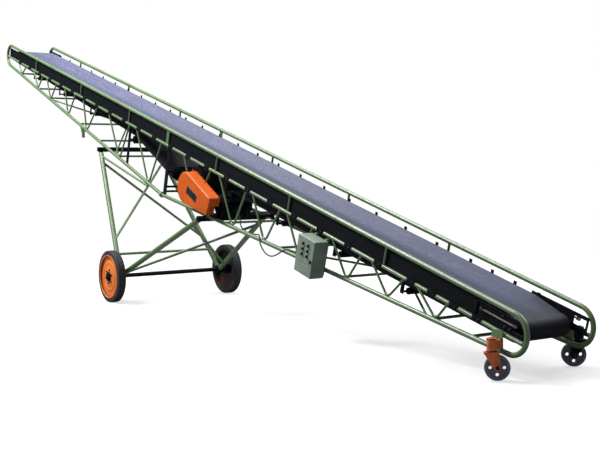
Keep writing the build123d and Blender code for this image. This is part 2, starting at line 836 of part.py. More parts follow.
# Upright rails that carry the box on the truss
with BuildPart() as box_rails:
    for offset in (-box_length / 3, box_length / 3):
        add_block((box_s + offset - rail_half, box_s + offset + rail_half),
                  (chord_w(box_s) - rail_diameter, lip_low - weld_gap),
                  (box_back + seat_gap, -tube_outer - seat_gap))
save(box_rails, "box_rails")
door_back = box_front - door_clearance
door_front = door_back - door_thickness
knuckle_gap = 0.5
with BuildPart() as door:
    add_block((box_s - box_length / 2, box_s + box_length / 2),
              (box_w - box_height / 2, box_w + box_height / 2), (door_front, door_back))
    chamfer(door.faces().sort_by(Axis.Y)[0].edges(), 2)
    for offset in (-hinge_offset, hinge_offset):
        high_w = box_w + offset - knuckle_gap
        low_w = high_w - knuckle_length + knuckle_gap
        add_block((hinge_s, box_s - box_length / 2), (low_w, high_w),
                  (door_back - hinge_barrel / 2, door_back))
        add_bar(spot(hinge_s, low_w, hinge_y), spot(hinge_s, high_w, hinge_y), hinge_barrel)
        add_bar(spot(hinge_s, low_w - 1, hinge_y), spot(hinge_s, high_w + 1, hinge_y),
                hinge_pin + 2 * shaft_clearance, mode=Mode.SUBTRACT)
save(door, "control_door")
button_columns = (-38, 44)
button_rows = (112, 62, 12)
with BuildPart() as buttons:
    for column in button_columns:
        for row in button_rows:
            add_roller((box_s + column, box_w + row), button_diameter,
                       door_front - seat_gap - button_length, door_front - seat_gap)
save(buttons, "box_buttons")

# Glands of the control box: for the supply cable from below, and for the motor's cable
motor_gland_end = box_s - box_length / 2 - gland_length
with BuildPart() as gland:
    add_bar(spot(box_s, box_w - box_height / 2 - seat_gap, box_middle),
            spot(box_s, box_w - box_height / 2 - gland_length, box_middle), gland_diameter)
    add_bar(spot(box_s, box_w, box_middle), spot(box_s, box_w - box_height, box_middle),
            gland_bore, mode=Mode.SUBTRACT)
    add_bar(spot(box_s - box_length / 2 - seat_gap, side_gland_w, box_middle),
            spot(motor_gland_end, side_gland_w, box_middle), gland_diameter)
save(gland, "cable_gland")

# Motor cable: along the near lower chord, over it, and in a free loop to the box
cable_lead = 80
cable_start_y = -180
cable_points = [
    # s, w, y
    (1620, -430, -222),
    (1740, -468, -282),
    (1880, -479, -314),
    (2030, -466, -317),
    (2130, -438, -318),
    (2205, -414, -333),
    (2265, -412, -366),
    (2325, -442, -396),
    (2400, -492, -404),
    (2490, -520, -406),
    (2585, -514, -408),
    (2675, -470, -410),
    (2755, -405, -413),
    (2855, -345, -420),
    (2970, -316, -440),
]
limp_radius = 5 * cable_diameter
places = [spot(terminal_s, motor_place[1] - 15, cable_start_y),
          spot(terminal_s + cable_lead, motor_place[1] - 15, cable_start_y)]
places += [spot(station(row[0]), *row[1:]) for row in cable_points]
places += [spot(motor_gland_end - cable_lead, side_gland_w, box_middle),
           spot(motor_gland_end, side_gland_w, box_middle)]
corner_radii = []
for before, corner, after in zip(places, places[1:], places[2:]):
    turn = radians((corner - before).get_angle(after - corner))
    shorter = min((corner - before).length, (after - corner).length)
    corner_radii.append(0.45 * shorter / tan(turn / 2))
print("cable radii", [round(radius) for radius in corner_radii])
with BuildPart() as cable:
    with BuildLine() as route:
        FilletPolyline(*places, radius=corner_radii)
    with BuildSketch(Plane(origin=route.line @ 0, z_dir=route.line % 0)) as section:
        Circle(cable_diameter / 2)
    sweep(section.sketch, path=route.line)
cable_length = sum(edge.length for edge in route.edges())
print("cable length", round(cable_length), "volume share",
      round(cable.part.volume / (cable_length * section.sketch.area), 4))
save(cable, "motor_cable")

# Axle and the wheels on its ends
axle_x = station(axle_x)
leg_foot_y = wheel_track / 2 - tyre_width / 2 - leg_inset
axle_end = wheel_track / 2 + tyre_width / 2 + 12
with BuildPart() as axle:
    add_bar(Vector(axle_x, -axle_end, wheel_radius), Vector(axle_x, axle_end, wheel_radius),
            axle_diameter)
    for sign in sides.values():
        collar_y = sign * leg_foot_y
        add_bar(Vector(axle_x, collar_y - collar_length / 2, wheel_radius),
                Vector(axle_x, collar_y + collar_length / 2, wheel_radius), collar_diameter)
save(axle, "axle")
rim_thickness = 8
disc_thickness = 6
disc_rim_set = 20
disc_hub_set = 36
hub_radius = hub_diameter / 2
disc_radius = disc_diameter / 2
hub_out = 6
for side, sign in sides.items():
    centre = Vector(axle_x, sign * wheel_track / 2, wheel_radius)
    wheel_plane = Plane(origin=centre, x_dir=(1, 0, 0), z_dir=(0, sign, 0))
    spin = Axis(centre, (0, 1, 0))
    half = tyre_width / 2
    with BuildPart() as tyre:
        with BuildSketch(wheel_plane.offset(-half)) as ring:
            Circle(wheel_radius)
            Circle(disc_radius + wheel_clearance, mode=Mode.SUBTRACT)
        extrude(ring.sketch, amount=tyre_width)
        chamfer(tyre.edges().filter_by(GeomType.CIRCLE).group_by(SortBy.RADIUS)[-1], 8)
    save(tyre, f"tyre_{side}")
    with BuildPart() as wheel:
        with BuildSketch(Plane(origin=centre, x_dir=(1, 0, 0), z_dir=(0, 0, sign))) as profile:
            with BuildLine():
                Polyline((disc_radius, -half), (disc_radius, half),
                         (disc_radius - rim_thickness, half),
                         (disc_radius - rim_thickness, disc_rim_set + disc_thickness),
                         (hub_radius + wheel_clearance, disc_hub_set + disc_thickness),
                         (hub_radius + wheel_clearance, disc_hub_set),
                         (disc_radius - rim_thickness, disc_rim_set),
                         (disc_radius - rim_thickness, -half), close=True)
            make_face()
        revolve(profile.sketch, axis=spin)
    save(wheel, f"wheel_{side}")
    with BuildPart() as hub:
        with BuildSketch(wheel_plane.offset(-half)) as disc:
            Circle(hub_radius)
        extrude(disc.sketch, amount=tyre_width + hub_out)
        chamfer(hub.edges().filter_by(GeomType.CIRCLE), 8)
        add_bar(centre - Vector(0, tyre_width, 0), centre + Vector(0, tyre_width, 0),
                axle_diameter + 2 * wheel_clearance, mode=Mode.SUBTRACT)
    save(hub, f"hub_{side}")


# Beams across the truss underneath, whose ends carry the legs
def beam_station(x):
    """Station s where the lower chord stands over a given X."""
    side_of_middle = 1 if x > 0 else -1
    return (x + chord_depth * sin(slope)) / (cos(slope) + side_of_middle * chord_rise * sin(slope))


beam_drop = tube_radius + beam_size / 2 - 4
beam_stations = {"front": beam_station(station(front_top_x)),
                 "rear": beam_station(station(rear_top_x))}
with BuildPart() as beams:
    for s in beam_stations.values():
        middle = chord_w(s) - beam_drop
        add_block((s - beam_size / 2, s + beam_size / 2),
                  (middle - beam_size / 2, middle + beam_size / 2),
                  (-leg_top_y - beam_overhang, leg_top_y + beam_overhang))
    cut_tubes(seat_gap, lowers=True)
save(beams, "leg_beams")

# Undercarriage legs, from the collars on the axle up to the beams
tops = {(name, side): spot(s, chord_w(s) - beam_drop, sign * leg_top_y)
        for name, s in beam_stations.items() for side, sign in sides.items()}
feet = {side: Vector(axle_x, sign * leg_foot_y, wheel_radius) for side, sign in sides.items()}


def along_leg(name, side, share):
    """Place on a leg's axis, as a share of the way from its foot to its top."""
    return feet[side] + (tops[name, side] - feet[side]) * share


for name, s in beam_stations.items():
    under = spot(s, chord_w(s) - beam_drop - beam_size / 2 - seat_gap)
    with BuildPart() as legs:
        for side in sides:
            add_bar(feet[side], tops[name, side], leg_diameter)
            half = Vector(0, collar_length, 0)
            add_bar(feet[side] - half, feet[side] + half, collar_diameter + 2 * seat_gap,
                    mode=Mode.SUBTRACT)
        split(bisect_by=Plane(origin=under, z_dir=upright), keep=Keep.BOTTOM)
    save(legs, f"{name}_legs")


def add_brace(name, low_side, low_share, high_side, high_share, shift):
    """Thin tube from one leg of a frame to the other."""
    frame_normal = (tops[name, "far"] - tops[name, "near"]).cross(
        feet["near"] - tops[name, "near"]).normalized()
    start = along_leg(name, low_side, low_share) + frame_normal * shift
    finish = along_leg(name, high_side, high_share) + frame_normal * shift
    add_bar(start, finish, brace_diameter)


# Braces of both leg frames, the cross-bar, and the struts from the front legs to the truss
cross_shift = brace_diameter / 2 + seat_gap / 2
strut_share = 0.945
strut_s = station(-400)
strut_drop = tube_radius + strut_diameter / 2 + 6
with BuildPart() as braces:
    for name, low_share in {"front": front_brace_share, "rear": rear_brace_share}.items():
        add_brace(name, "near", low_share, "far", brace_top_share, -cross_shift)
        add_brace(name, "far", low_share, "near", brace_top_share, cross_shift)
    add_brace("front", "near", crossbar_share, "far", crossbar_share, 0)
    for side, sign in sides.items():
        end_w = chord_w(strut_s) - strut_drop
        add_bar(along_leg("front", side, strut_share), spot(strut_s, end_w, sign * half_width),
                strut_diameter)
        add_block((strut_s - 70, strut_s), (end_w, end_w + strut_drop),
                  (sign * half_width - 5, sign * half_width + 5))
    for name in beam_stations:
        for side in sides:
            add_bar(feet[side], tops[name, side], leg_diameter + 2 * seat_gap, mode=Mode.SUBTRACT)
    cut_tubes(seat_gap, lowers=True)
save(braces, "leg_braces")

# Casters: a plate on the truss, a sleeve on an arm, a fork with its stem, and the wheel
caster_x = station(caster_x)
sleeve_low = caster_wheel_diameter + 22
sleeve_high = sleeve_low + 100
plate_x = caster_x - caster_plate_shift
plate_foot = sleeve_low - 8
plate_head = spot((plate_x - (middle_radius - middle_drop) * sin(slope)) / cos(slope),
                  -middle_drop).Z + middle_radius
crown_thickness = 16
crown_width = 116
cheek_top_width = 104
cheek_radius = 27
cheek_gap = 6
caster_cheek = 5
caster_pin_diameter = 20
arm_height = 64
arm_breadth = 40
caster_tread = 22
web_half = 7
lightening_hole = 26
lightening_radius = 52
lightening_count = 4
plate_far = tube_outer + seat_gap + caster_plate_thickness
with BuildPart() as caster_plates:
    for sign in sides.values():
        with BuildSketch(Plane(origin=(plate_x, 0, plate_foot))) as plate:
            with Locations((0, sign * (plate_far - caster_plate_thickness / 2))):
                Rectangle(caster_plate_width, caster_plate_thickness)
        extrude(plate.sketch, amount=plate_head - plate_foot)
save(caster_plates, "caster_plates")
for side, sign in sides.items():
    swivel = radians(caster_swivel_deg if side == "near" else caster_swivel_deg + 180)
    trail_dir = Vector(cos(swivel), sin(swivel), 0)
    roll_axis = Vector(-sin(swivel), cos(swivel), 0)
    pivot = Vector(caster_x, sign * caster_y, 0)
    centre = pivot + trail_dir * caster_trail + Vector(0, 0, caster_radius)
    arm_inner = sign * (plate_far + seat_gap)
    with BuildPart() as sleeve:
        add_bar(pivot + Vector(0, 0, sleeve_low), pivot + Vector(0, 0, sleeve_high),
                caster_tube_diameter)
        with BuildSketch(Plane(origin=(caster_x, 0, sleeve_low + 18))) as arm:
            with Locations((0, (arm_inner + sign * caster_y) / 2)):
                Rectangle(arm_breadth, abs(sign * caster_y - arm_inner))
        extrude(arm.sketch, amount=arm_height)
        add_bar(pivot + Vector(0, 0, sleeve_low - 1), pivot + Vector(0, 0, sleeve_high + 1),
                caster_stem_diameter + 2 * shaft_clearance, mode=Mode.SUBTRACT)
    save(sleeve, f"caster_sleeve_{side}")
    crown_low = sleeve_low - seat_gap - crown_thickness
    with BuildPart() as fork:
        add_bar(pivot + Vector(0, 0, crown_low), pivot + Vector(0, 0, sleeve_high + 8),
                caster_stem_diameter)
        for cheek in (-1, 1):
            base = centre + roll_axis * cheek * (caster_wheel_width / 2 + cheek_gap)
            cheek_plane = Plane(origin=base, x_dir=trail_dir, z_dir=roll_axis * cheek)
            up = 1 if cheek_plane.y_dir.Z > 0 else -1
            with BuildSketch(cheek_plane) as cheek_face:
                Circle(cheek_radius)
                with Locations((-caster_trail,
                                up * (crown_low - caster_radius + crown_thickness / 2))):
                    Rectangle(cheek_top_width, crown_thickness)
                make_hull()
            extrude(cheek_face.sketch, amount=caster_cheek)
        with BuildSketch(Plane(origin=pivot + Vector(0, 0, crown_low), x_dir=trail_dir)) as crown:
            RectangleRounded(crown_width, caster_wheel_width + 2 * cheek_gap + 2 * caster_cheek, 12)
        extrude(crown.sketch, amount=crown_thickness)
        pin_reach = caster_wheel_width / 2 + cheek_gap + caster_cheek + 6
        add_bar(centre - roll_axis * pin_reach, centre + roll_axis * pin_reach, caster_pin_diameter)
    save(fork, f"caster_fork_{side}")
    wheel_face = Plane(origin=centre, x_dir=trail_dir, z_dir=roll_axis)
    with BuildPart() as wheel:
        half = caster_wheel_width / 2
        add_bar(centre - roll_axis * half, centre + roll_axis * half, caster_wheel_diameter)
        for cheek in (-1, 1):
            with BuildSketch(wheel_face.offset(cheek * web_half)) as recess:
                Circle(caster_radius - caster_tread)
                Circle(cheek_radius, mode=Mode.SUBTRACT)
            extrude(recess.sketch, amount=cheek * half, mode=Mode.SUBTRACT)
        with BuildSketch(wheel_face.offset(-half)) as holes:
            with PolarLocations(lightening_radius, lightening_count):
                Circle(lightening_hole / 2)
        extrude(holes.sketch, amount=2 * half, mode=Mode.SUBTRACT)
        add_bar(centre - roll_axis * caster_wheel_width, centre + roll_axis * caster_wheel_width,
                caster_pin_diameter + 2 * shaft_clearance, mode=Mode.SUBTRACT)
    save(wheel, f"caster_wheel_{side}")

# Socket for a prop, under the near lower chord
socket_s = station(socket_s)
socket_top = spot(socket_s, chord_w(socket_s) - tube_radius - 8, -half_width)
socket_foot = socket_top - Vector(0, 0, socket_length)
gusset_half = 5
with BuildPart() as socket:
    add_bar(socket_foot, socket_top, socket_diameter)
    with BuildSketch(truss_face(-half_width + gusset_half)) as gusset:
        with BuildLine():
            low_w = chord_w(socket_s) - tube_radius - 60
            Polyline((socket_s - 120, chord_w(socket_s - 120)),
                     (socket_s + 110, chord_w(socket_s + 110)), (socket_s + 25, low_w),
                     (socket_s - 45, low_w), close=True)
        make_face()
    extrude(gusset.sketch, amount=2 * gusset_half)
    cut_tubes(weld_gap, lowers=True)
    add_bar(socket_foot - Vector(0, 0, 1), socket_top + Vector(0, 0, 1), socket_bore,
            mode=Mode.SUBTRACT)
save(socket, "prop_socket")
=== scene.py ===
"""Looks of the mobile belt conveyor: paint, rubber, small fittings and a plain studio."""
import json
import math

import bmesh
import bpy
from bpy.props import FloatProperty, FloatVectorProperty, IntProperty, PointerProperty
from mathutils import Matrix, Vector


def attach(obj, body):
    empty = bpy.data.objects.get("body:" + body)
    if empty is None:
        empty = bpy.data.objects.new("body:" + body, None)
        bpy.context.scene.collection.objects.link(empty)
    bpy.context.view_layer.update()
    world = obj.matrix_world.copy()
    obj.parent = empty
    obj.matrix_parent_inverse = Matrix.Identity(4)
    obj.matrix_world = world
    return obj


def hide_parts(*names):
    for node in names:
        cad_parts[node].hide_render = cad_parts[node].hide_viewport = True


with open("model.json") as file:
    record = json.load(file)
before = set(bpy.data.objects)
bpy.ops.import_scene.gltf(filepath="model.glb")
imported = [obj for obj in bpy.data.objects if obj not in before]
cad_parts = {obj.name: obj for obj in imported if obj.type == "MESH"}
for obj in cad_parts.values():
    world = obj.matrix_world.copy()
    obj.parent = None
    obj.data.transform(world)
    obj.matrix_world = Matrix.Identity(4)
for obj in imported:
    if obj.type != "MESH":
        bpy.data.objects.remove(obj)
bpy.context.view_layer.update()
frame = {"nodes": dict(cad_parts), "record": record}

bl_info = {
    "name": "Belt Conveyor Looks",
    "version": (1, 0, 0),
    "blender": (4, 0, 0),
    "location": "View3D > Sidebar > Conveyor",
    "description": "Paint, rubber and small fittings for a mobile belt conveyor",
    "category": "Object",
}

NODES = frame["nodes"]

# Sizes of the part, in metres. In the truss, s runs down the slope from its middle, w stands
# square to the slope, and y runs across, with the drive and the control box on the -y side.

SLOPE = math.radians(15.7)
MIDDLE_HEIGHT = 1.91
HALF_LENGTH = 5.792
HALF_WIDTH = 0.352
TUBE = 0.021
LOOP_RADIUS = 0.157
CHORD_DEPTH = 0.636
CHORD_RISE = (CHORD_DEPTH - LOOP_RADIUS) / HALF_LENGTH
MIDDLE_CHORD_W = -0.031
WHEEL_RADIUS = 0.313
AXLE_X = -0.66
WHEEL_Y = 0.795
TYRE_WIDTH = 0.100
DISC_RADIUS = 0.257
DISC_EDGE_Y = 0.838
GUARD_FRONT = -0.501
GUARD_RIM = -0.386
MOTOR = (1.290, -0.385)
BOX = (3.345, -0.238)
BOX_FRONT = -0.552
SIDES = {"near": -1.0, "far": 1.0}
BOTH_WAYS = (-1.0, 1.0)
CORNERS = [(one, two) for one in BOTH_WAYS for two in BOTH_WAYS]
IDLERS = ([-5.28 + 0.45 * number for number in range(23)]
          + [4.62 + 0.27 * number for number in (1, 2, 3)])

ALONG = Vector((math.cos(SLOPE), 0.0, -math.sin(SLOPE)))
UPRIGHT = Vector((math.sin(SLOPE), 0.0, math.cos(SLOPE)))
ACROSS = Vector((0.0, 1.0, 0.0))
LEVEL = Vector((1.0, 0.0, 0.0))
UP = Vector((0.0, 0.0, 1.0))


def spot(s, w, y=0.0):
    """World place of a truss point."""
    return Vector((0.0, y, MIDDLE_HEIGHT)) + ALONG * s + UPRIGHT * w


def chord_w(s):
    """Height of the lower chord's axis at a station."""
    return -CHORD_DEPTH + CHORD_RISE * abs(s)


def wheel_centre(sign):
    return Vector((AXLE_X, sign * WHEEL_Y, WHEEL_RADIUS))


def around(count, one, two, shift=0.0):
    """Directions that go once round, from the first axis towards the second."""
    for number in range(count):
        angle = math.tau * (number + shift) / count
        yield one * math.cos(angle) + two * math.sin(angle)


# Sizes and colours that a user would change

def colour_property(name, description, default):
    return FloatVectorProperty(name=name, description=description, default=default,
                               subtype="COLOR", size=3, min=0.0, max=1.0)


def length_property(name, description, default):
    return FloatProperty(name=name, description=description, default=default, min=0.0,
                         unit="LENGTH", subtype="DISTANCE")


class ConveyorPaint(bpy.types.PropertyGroup):
    """Colours of the machine."""
    green: colour_property("Frame green", "Sage green enamel of the truss", (0.115, 0.205, 0.085))
    orange: colour_property("Guard orange", "Orange enamel of the drive guard",
                            (0.70, 0.115, 0.005))
    # The discs' orange is yellower than the guard's, and is also made brighter as painted light
    # on the discs
    disc: colour_property("Wheel orange", "Faded orange of the wheel discs", (0.92, 0.21, 0.024))
    dark: colour_property("Dark steel", "Dark paint of rolls, frames and drive",
                          (0.0045, 0.0060, 0.0095))
    box: colour_property("Box grey", "Grey green enamel of the control box", (0.235, 0.31, 0.25))
    belt: colour_property("Belt cover", "Rubber of the carrying side", (0.125, 0.135, 0.225))
    tyre: colour_property("Tyre", "Rubber of the road wheels", (0.035, 0.036, 0.045))
    wear: FloatProperty(name="Wear", description="How much paint is worn and dusty", default=0.5,
                        min=0.0, max=1.0, subtype="FACTOR")


class ConveyorTyres(bpy.types.PropertyGroup):
    """Tread of the road wheels."""
    lugs: IntProperty(name="Lugs", description="Tread blocks round each tyre", default=46, min=8)
    groove_depth: length_property("Groove depth", "Depth of the tread's grooves", 0.0045)


class ConveyorMotor(bpy.types.PropertyGroup):
    """Ribs of the motor's housing."""
    fins: IntProperty(name="Fins", description="Cooling fins round the motor", default=44, min=4)
    fin_height: length_property("Fin height", "Height of each cooling fin", 0.012)


class ConveyorCable(bpy.types.PropertyGroup):
    """Cable from the motor to the control box."""
    length: length_property("Cable length", "Real length of the motor's cable", 1.87)


class ConveyorStudio(bpy.types.PropertyGroup):
    """Camera and light of the studio."""
    lens: FloatProperty(name="Lens", description="Focal length on a 36 mm wide sensor",
                        default=62.19, unit="CAMERA", min=10.0)
    key_power: FloatProperty(name="Key light", description="Power of the soft key light",
                             default=2350.0, min=0.0, unit="POWER")
    sky: FloatProperty(name="Sky light", description="Strength of the even light all round",
                       default=0.22, min=0.0)
    floor_radius: length_property("Floor radius", "Radius of the studio floor", 60.0)


# Procedural finishes

RUSTY_CHIP = (0.10, 0.055, 0.035)
SURFACE_RUST = (0.15, 0.07, 0.035)
# Painted shade of the road wheels' inner side, near black, and the rust brown patched into it
DISC_INNER_SHADE = (0.010, 0.010, 0.014)
DISC_RUST = (0.110, 0.036, 0.020)
RUBBER_DUST = (0.16, 0.15, 0.14)
BELT_TAIL_BLUE = (0.066, 0.080, 0.165)

# Places on the belt: the stripe of painted shade with its soft edge, and where along the slope
# that stripe, the tail's blue and the painted shade of the tail end come in
SHADE_STRIPE_Y = -0.030
SHADE_STRIPE_EDGE = (0.056, 0.086)
SHADE_STRIPE_STRETCH = (-4.5, 1.5)
TAIL_STRETCH = (0.5, 5.0)
TAIL_SHADE = (4.70, 5.25)


class Nodes:
    """Short names for the shader nodes of one tree."""

    def __init__(self, tree):
        self.tree = tree

    def add(self, kind, links=(), **settings):
        """A node with its settings, its input values and what is linked to them."""
        node = self.tree.nodes.new("ShaderNode" + kind)
        for key, value in settings.items():
            setattr(node, key, value)
        for socket, value in dict(links).items():
            if isinstance(value, bpy.types.NodeSocket):
                self.tree.links.new(value, node.inputs[socket])
            else:
                node.inputs[socket].default_value = value
        return node

    def span(self, value, low, high, to_low=0.0, to_high=1.0):
        """A value stretched from one range to another and clamped."""
        node = self.add("MapRange", {"Value": value, "From Min": low, "From Max": high,
                                     "To Min": to_low, "To Max": to_high})
        return node.outputs["Result"]

    def sums(self, operation, first, second):
        return self.add("Math", {0: first, 1: second}, operation=operation).outputs[0]

    def mix(self, amount, first, second):
        """One colour over another by an amount."""
        first, second = (value if isinstance(value, bpy.types.NodeSocket) else (*value, 1.0)
                         for value in (first, second))
        return self.add("Mix", {0: amount, 6: first, 7: second}, data_type="RGBA").outputs[2]

    def bump(self, height, strength, distance, under=None):
        """A bump whose height is in metres."""
        links = {"Height": height, "Strength": strength, "Distance": distance}
        if under is not None:
            links["Normal"] = under
        return self.add("Bump", links).outputs["Normal"]


class Finish(Nodes):
    """One material, built up from object coordinates in metres."""

    def __init__(self, name, rough=0.5, metal=0.0, **sockets):
        self.material = bpy.data.materials.new(name)
        self.material.use_nodes = True
        super().__init__(self.material.node_tree)
        self.shader = self.tree.nodes["Principled BSDF"]
        self.shader.inputs["Roughness"].default_value = rough
        self.shader.inputs["Metallic"].default_value = metal
        for socket, value in sockets.items():
            self.shader.inputs[socket.replace("_", " ")].default_value = value
        self.place = self.add("TexCoord").outputs["Object"]

    def noise(self, scale, detail=4.0, rough=0.55, place=None):
        """Noise whose scale is the number of features in a metre."""
        return self.add("TexNoise", {"Vector": place or self.place, "Scale": scale,
                                     "Detail": detail, "Roughness": rough}).outputs["Fac"]

    def link(self, **outputs):
        for socket, value in outputs.items():
            self.tree.links.new(value, self.shader.inputs[socket.replace("_", " ")])
        return self.material


def shade(colour, factor):
    """A colour made darker or lighter."""
    return tuple(min(1.0, channel * factor) for channel in colour[:3])


def enamel(name, colour, rough=0.42, chips=0.35, dirt=0.5, grain=420.0, dust=(0.13, 0.12, 0.09),
           coat=0.0, gloss=0.5, patches=2.3, painted_shade_inside=False):
    """Sprayed enamel: uneven colour, dust, chips and an orange peel surface. On the road wheels
    the inner side gets painted shade, near black with rust brown patches."""
    make = Finish(name, rough, Coat_Weight=coat, Coat_Roughness=0.34, Specular_IOR_Level=gloss)
    clouds = make.noise(patches, 5.0)
    streaks = make.noise(19.0, 6.0, 0.65)
    base = make.mix(make.span(clouds, 0.3, 0.7), shade(colour, 0.82), shade(colour, 1.18))
    base = make.mix(make.span(streaks, 0.45, 0.8, 0.0, dirt * 0.6), base, dust)
    spots = make.noise(95.0, 3.0, 0.7)
    chipped = make.span(make.sums("MULTIPLY", spots, make.span(clouds, 0.35, 0.65, 0.75, 1.0)),
                        0.655, 0.68, 0.0, chips)
    base = make.mix(chipped, base, RUSTY_CHIP)
    roughness = make.span(streaks, 0.25, 0.75, rough - 0.10, rough + 0.18)
    # Painted shade on the side of a road wheel that faces the machine: near black with rust brown
    # patches
    if painted_shade_inside:
        inside_shade = make.mix(make.span(make.noise(5.0, 4.0), 0.48, 0.62), DISC_INNER_SHADE, DISC_RUST)
        base = make.mix(inner_side(make), base, inside_shade)
    peel = make.bump(make.noise(grain, 2.0), 0.15, 0.0005)
    worn = make.bump(chipped, 0.5, 0.0004, peel)
    return make.link(Base_Color=base, Roughness=roughness, Normal=worn)


def inner_side(make):
    """1 on the side of a road wheel that faces the machine, for painted shade, and 0 on its
    enamelled outside.
    """
    place = make.add("SeparateXYZ", {0: make.place}).outputs["Y"]
    normal = make.add("NewGeometry").outputs["Normal"]
    facing = make.add("SeparateXYZ", {0: normal}).outputs["Y"]
    outwards = make.sums("MULTIPLY", facing, make.sums("SIGN", place, 0.0))
    edge = make.span(make.sums("ABSOLUTE", place, 0.0), DISC_EDGE_Y - 0.0005,
                     DISC_EDGE_Y + 0.0005)
    painted = make.sums("MAXIMUM", make.span(outwards, 0.15, 0.3), edge)
    return make.sums("SUBTRACT", 1.0, painted)


def bare_steel(name, colour=(0.35, 0.35, 0.36), rough=0.38, metal=0.85):
    """Turned or galvanised steel with spangle and a little rust."""
    make = Finish(name, rough, metal=metal)
    spangle = make.add("TexVoronoi", {"Vector": make.place, "Scale": 140.0})
    grey = make.add("RGBToBW", {"Color": spangle.outputs["Color"]}).outputs[0]
    rust = make.span(make.noise(31.0, 5.0), 0.56, 0.72, 0.0, 0.5)
    base = make.mix(make.span(grey, 0.0, 1.0), shade(colour, 0.8), shade(colour, 1.2))
    base = make.mix(rust, base, SURFACE_RUST)
    roughness = make.span(make.noise(60.0, 3.0), 0.3, 0.7, rough - 0.08, rough + 0.2)
    return make.link(Base_Color=base, Roughness=roughness,
                     Normal=make.bump(make.noise(500.0, 2.0), 0.2, 0.0004))


def rubber(name, colour, rough=0.72, grain=260.0, dust=0.35):
    """Matt rubber with dust in it."""
    make = Finish(name, rough, Specular_IOR_Level=0.3)
    clouds = make.noise(5.0, 5.0)
    fine = make.noise(grain, 3.0, 0.7)
    base = make.mix(make.span(clouds, 0.3, 0.7), shade(colour, 0.75), shade(colour, 1.25))
    base = make.mix(make.span(fine, 0.5, 0.8, 0.0, dust), base, RUBBER_DUST)
    roughness = make.span(fine, 0.2, 0.8, rough - 0.12, min(1.0, rough + 0.15))
    return make.link(Base_Color=base, Roughness=roughness, Normal=make.bump(fine, 0.35, 0.0008))


def belt_finish(name, cover):
    """Belt rubber with a fine weave, with painted shade in a stripe and at the tail; almost black
    underneath, partly its own dark rubber and partly painted shade.
    """
    make = Finish(name, 0.6, Specular_IOR_Level=0.25)
    level = make.add("Mapping", {"Vector": make.place,
                                 "Rotation": (0.0, -SLOPE, 0.0)}).outputs["Vector"]
    ribs, cords = (
        make.add("TexWave", {"Vector": level, "Scale": scale, "Distortion": 0.6, "Detail": 2.0,
                             "Detail Scale": 3.0}, bands_direction=direction).outputs["Fac"]
        for direction, scale in (("X", 26.0), ("Y", 21.0)))
    weave = make.sums("MULTIPLY", ribs, cords)
    clouds = make.noise(1.6, 5.0)
    scuffs = make.add("Mapping", {"Vector": level, "Scale": (0.6, 18.0, 1.0)})
    lines = make.noise(2.2, 4.0, 0.6, scuffs.outputs["Vector"])
    parts = make.add("SeparateXYZ", {0: level})
    # Painted shade of the near wing: a dark stripe beside the middle of the belt, darker along
    # the slope, with lighter wings beside it
    aside = make.sums("ABSOLUTE", make.sums("SUBTRACT", parts.outputs["Y"], SHADE_STRIPE_Y), 0.0)
    shade_stripe = make.mix(make.span(parts.outputs["X"], *SHADE_STRIPE_STRETCH), shade(cover, 0.90),
                     shade(cover, 0.22))
    beside = make.mix(make.span(parts.outputs["X"], *TAIL_STRETCH), shade(cover, 1.10),
                      BELT_TAIL_BLUE)
    base = make.mix(make.span(aside, *SHADE_STRIPE_EDGE), shade_stripe, beside)
    specks = make.noise(30.0, 3.0, 0.8)
    base = make.mix(make.span(specks, 0.38, 0.60, 0.60, 0.0), base, shade(cover, 0.30))
    base = make.mix(make.span(clouds, 0.35, 0.7, 0.0, 0.35), base, shade(cover, 0.55))
    base = make.mix(make.span(lines, 0.45, 0.8, 0.0, 0.35), base, shade(cover, 1.5))
    base = make.mix(make.span(weave, 0.0, 0.35, 0.5, 0.0), base, shade(cover, 0.30))
    # Painted shade at the tail end, where the belt turns down round the tail pulley
    tail_shade = make.span(parts.outputs["X"], *TAIL_SHADE, 0.0, 0.88)
    base = make.mix(tail_shade, base, shade(cover, 0.09))
    # Underside and inner side almost black: partly the belt's own dark rubber, partly painted
    # shade under the carrying run
    normal = make.add("NewGeometry").outputs["Normal"]
    facing = make.add("VectorMath", {0: normal, 1: tuple(UPRIGHT)},
                      operation="DOT_PRODUCT").outputs["Value"]
    height = make.sums("SUBTRACT", parts.outputs["Z"], MIDDLE_HEIGHT * math.cos(SLOPE))
    carrying = make.sums("MULTIPLY", make.span(facing, 0.30, 0.55),
                         make.span(height, 0.020, 0.034))
    base = make.mix(make.sums("SUBTRACT", 1.0, carrying), base, shade(cover, 0.05))
    roughness = make.span(lines, 0.3, 0.7, 0.48, 0.68)
    ridged = make.bump(weave, 0.7, 0.0012)
    return make.link(Base_Color=base, Roughness=roughness,
                     Normal=make.bump(make.noise(700.0, 2.0), 0.2, 0.0003, ridged))


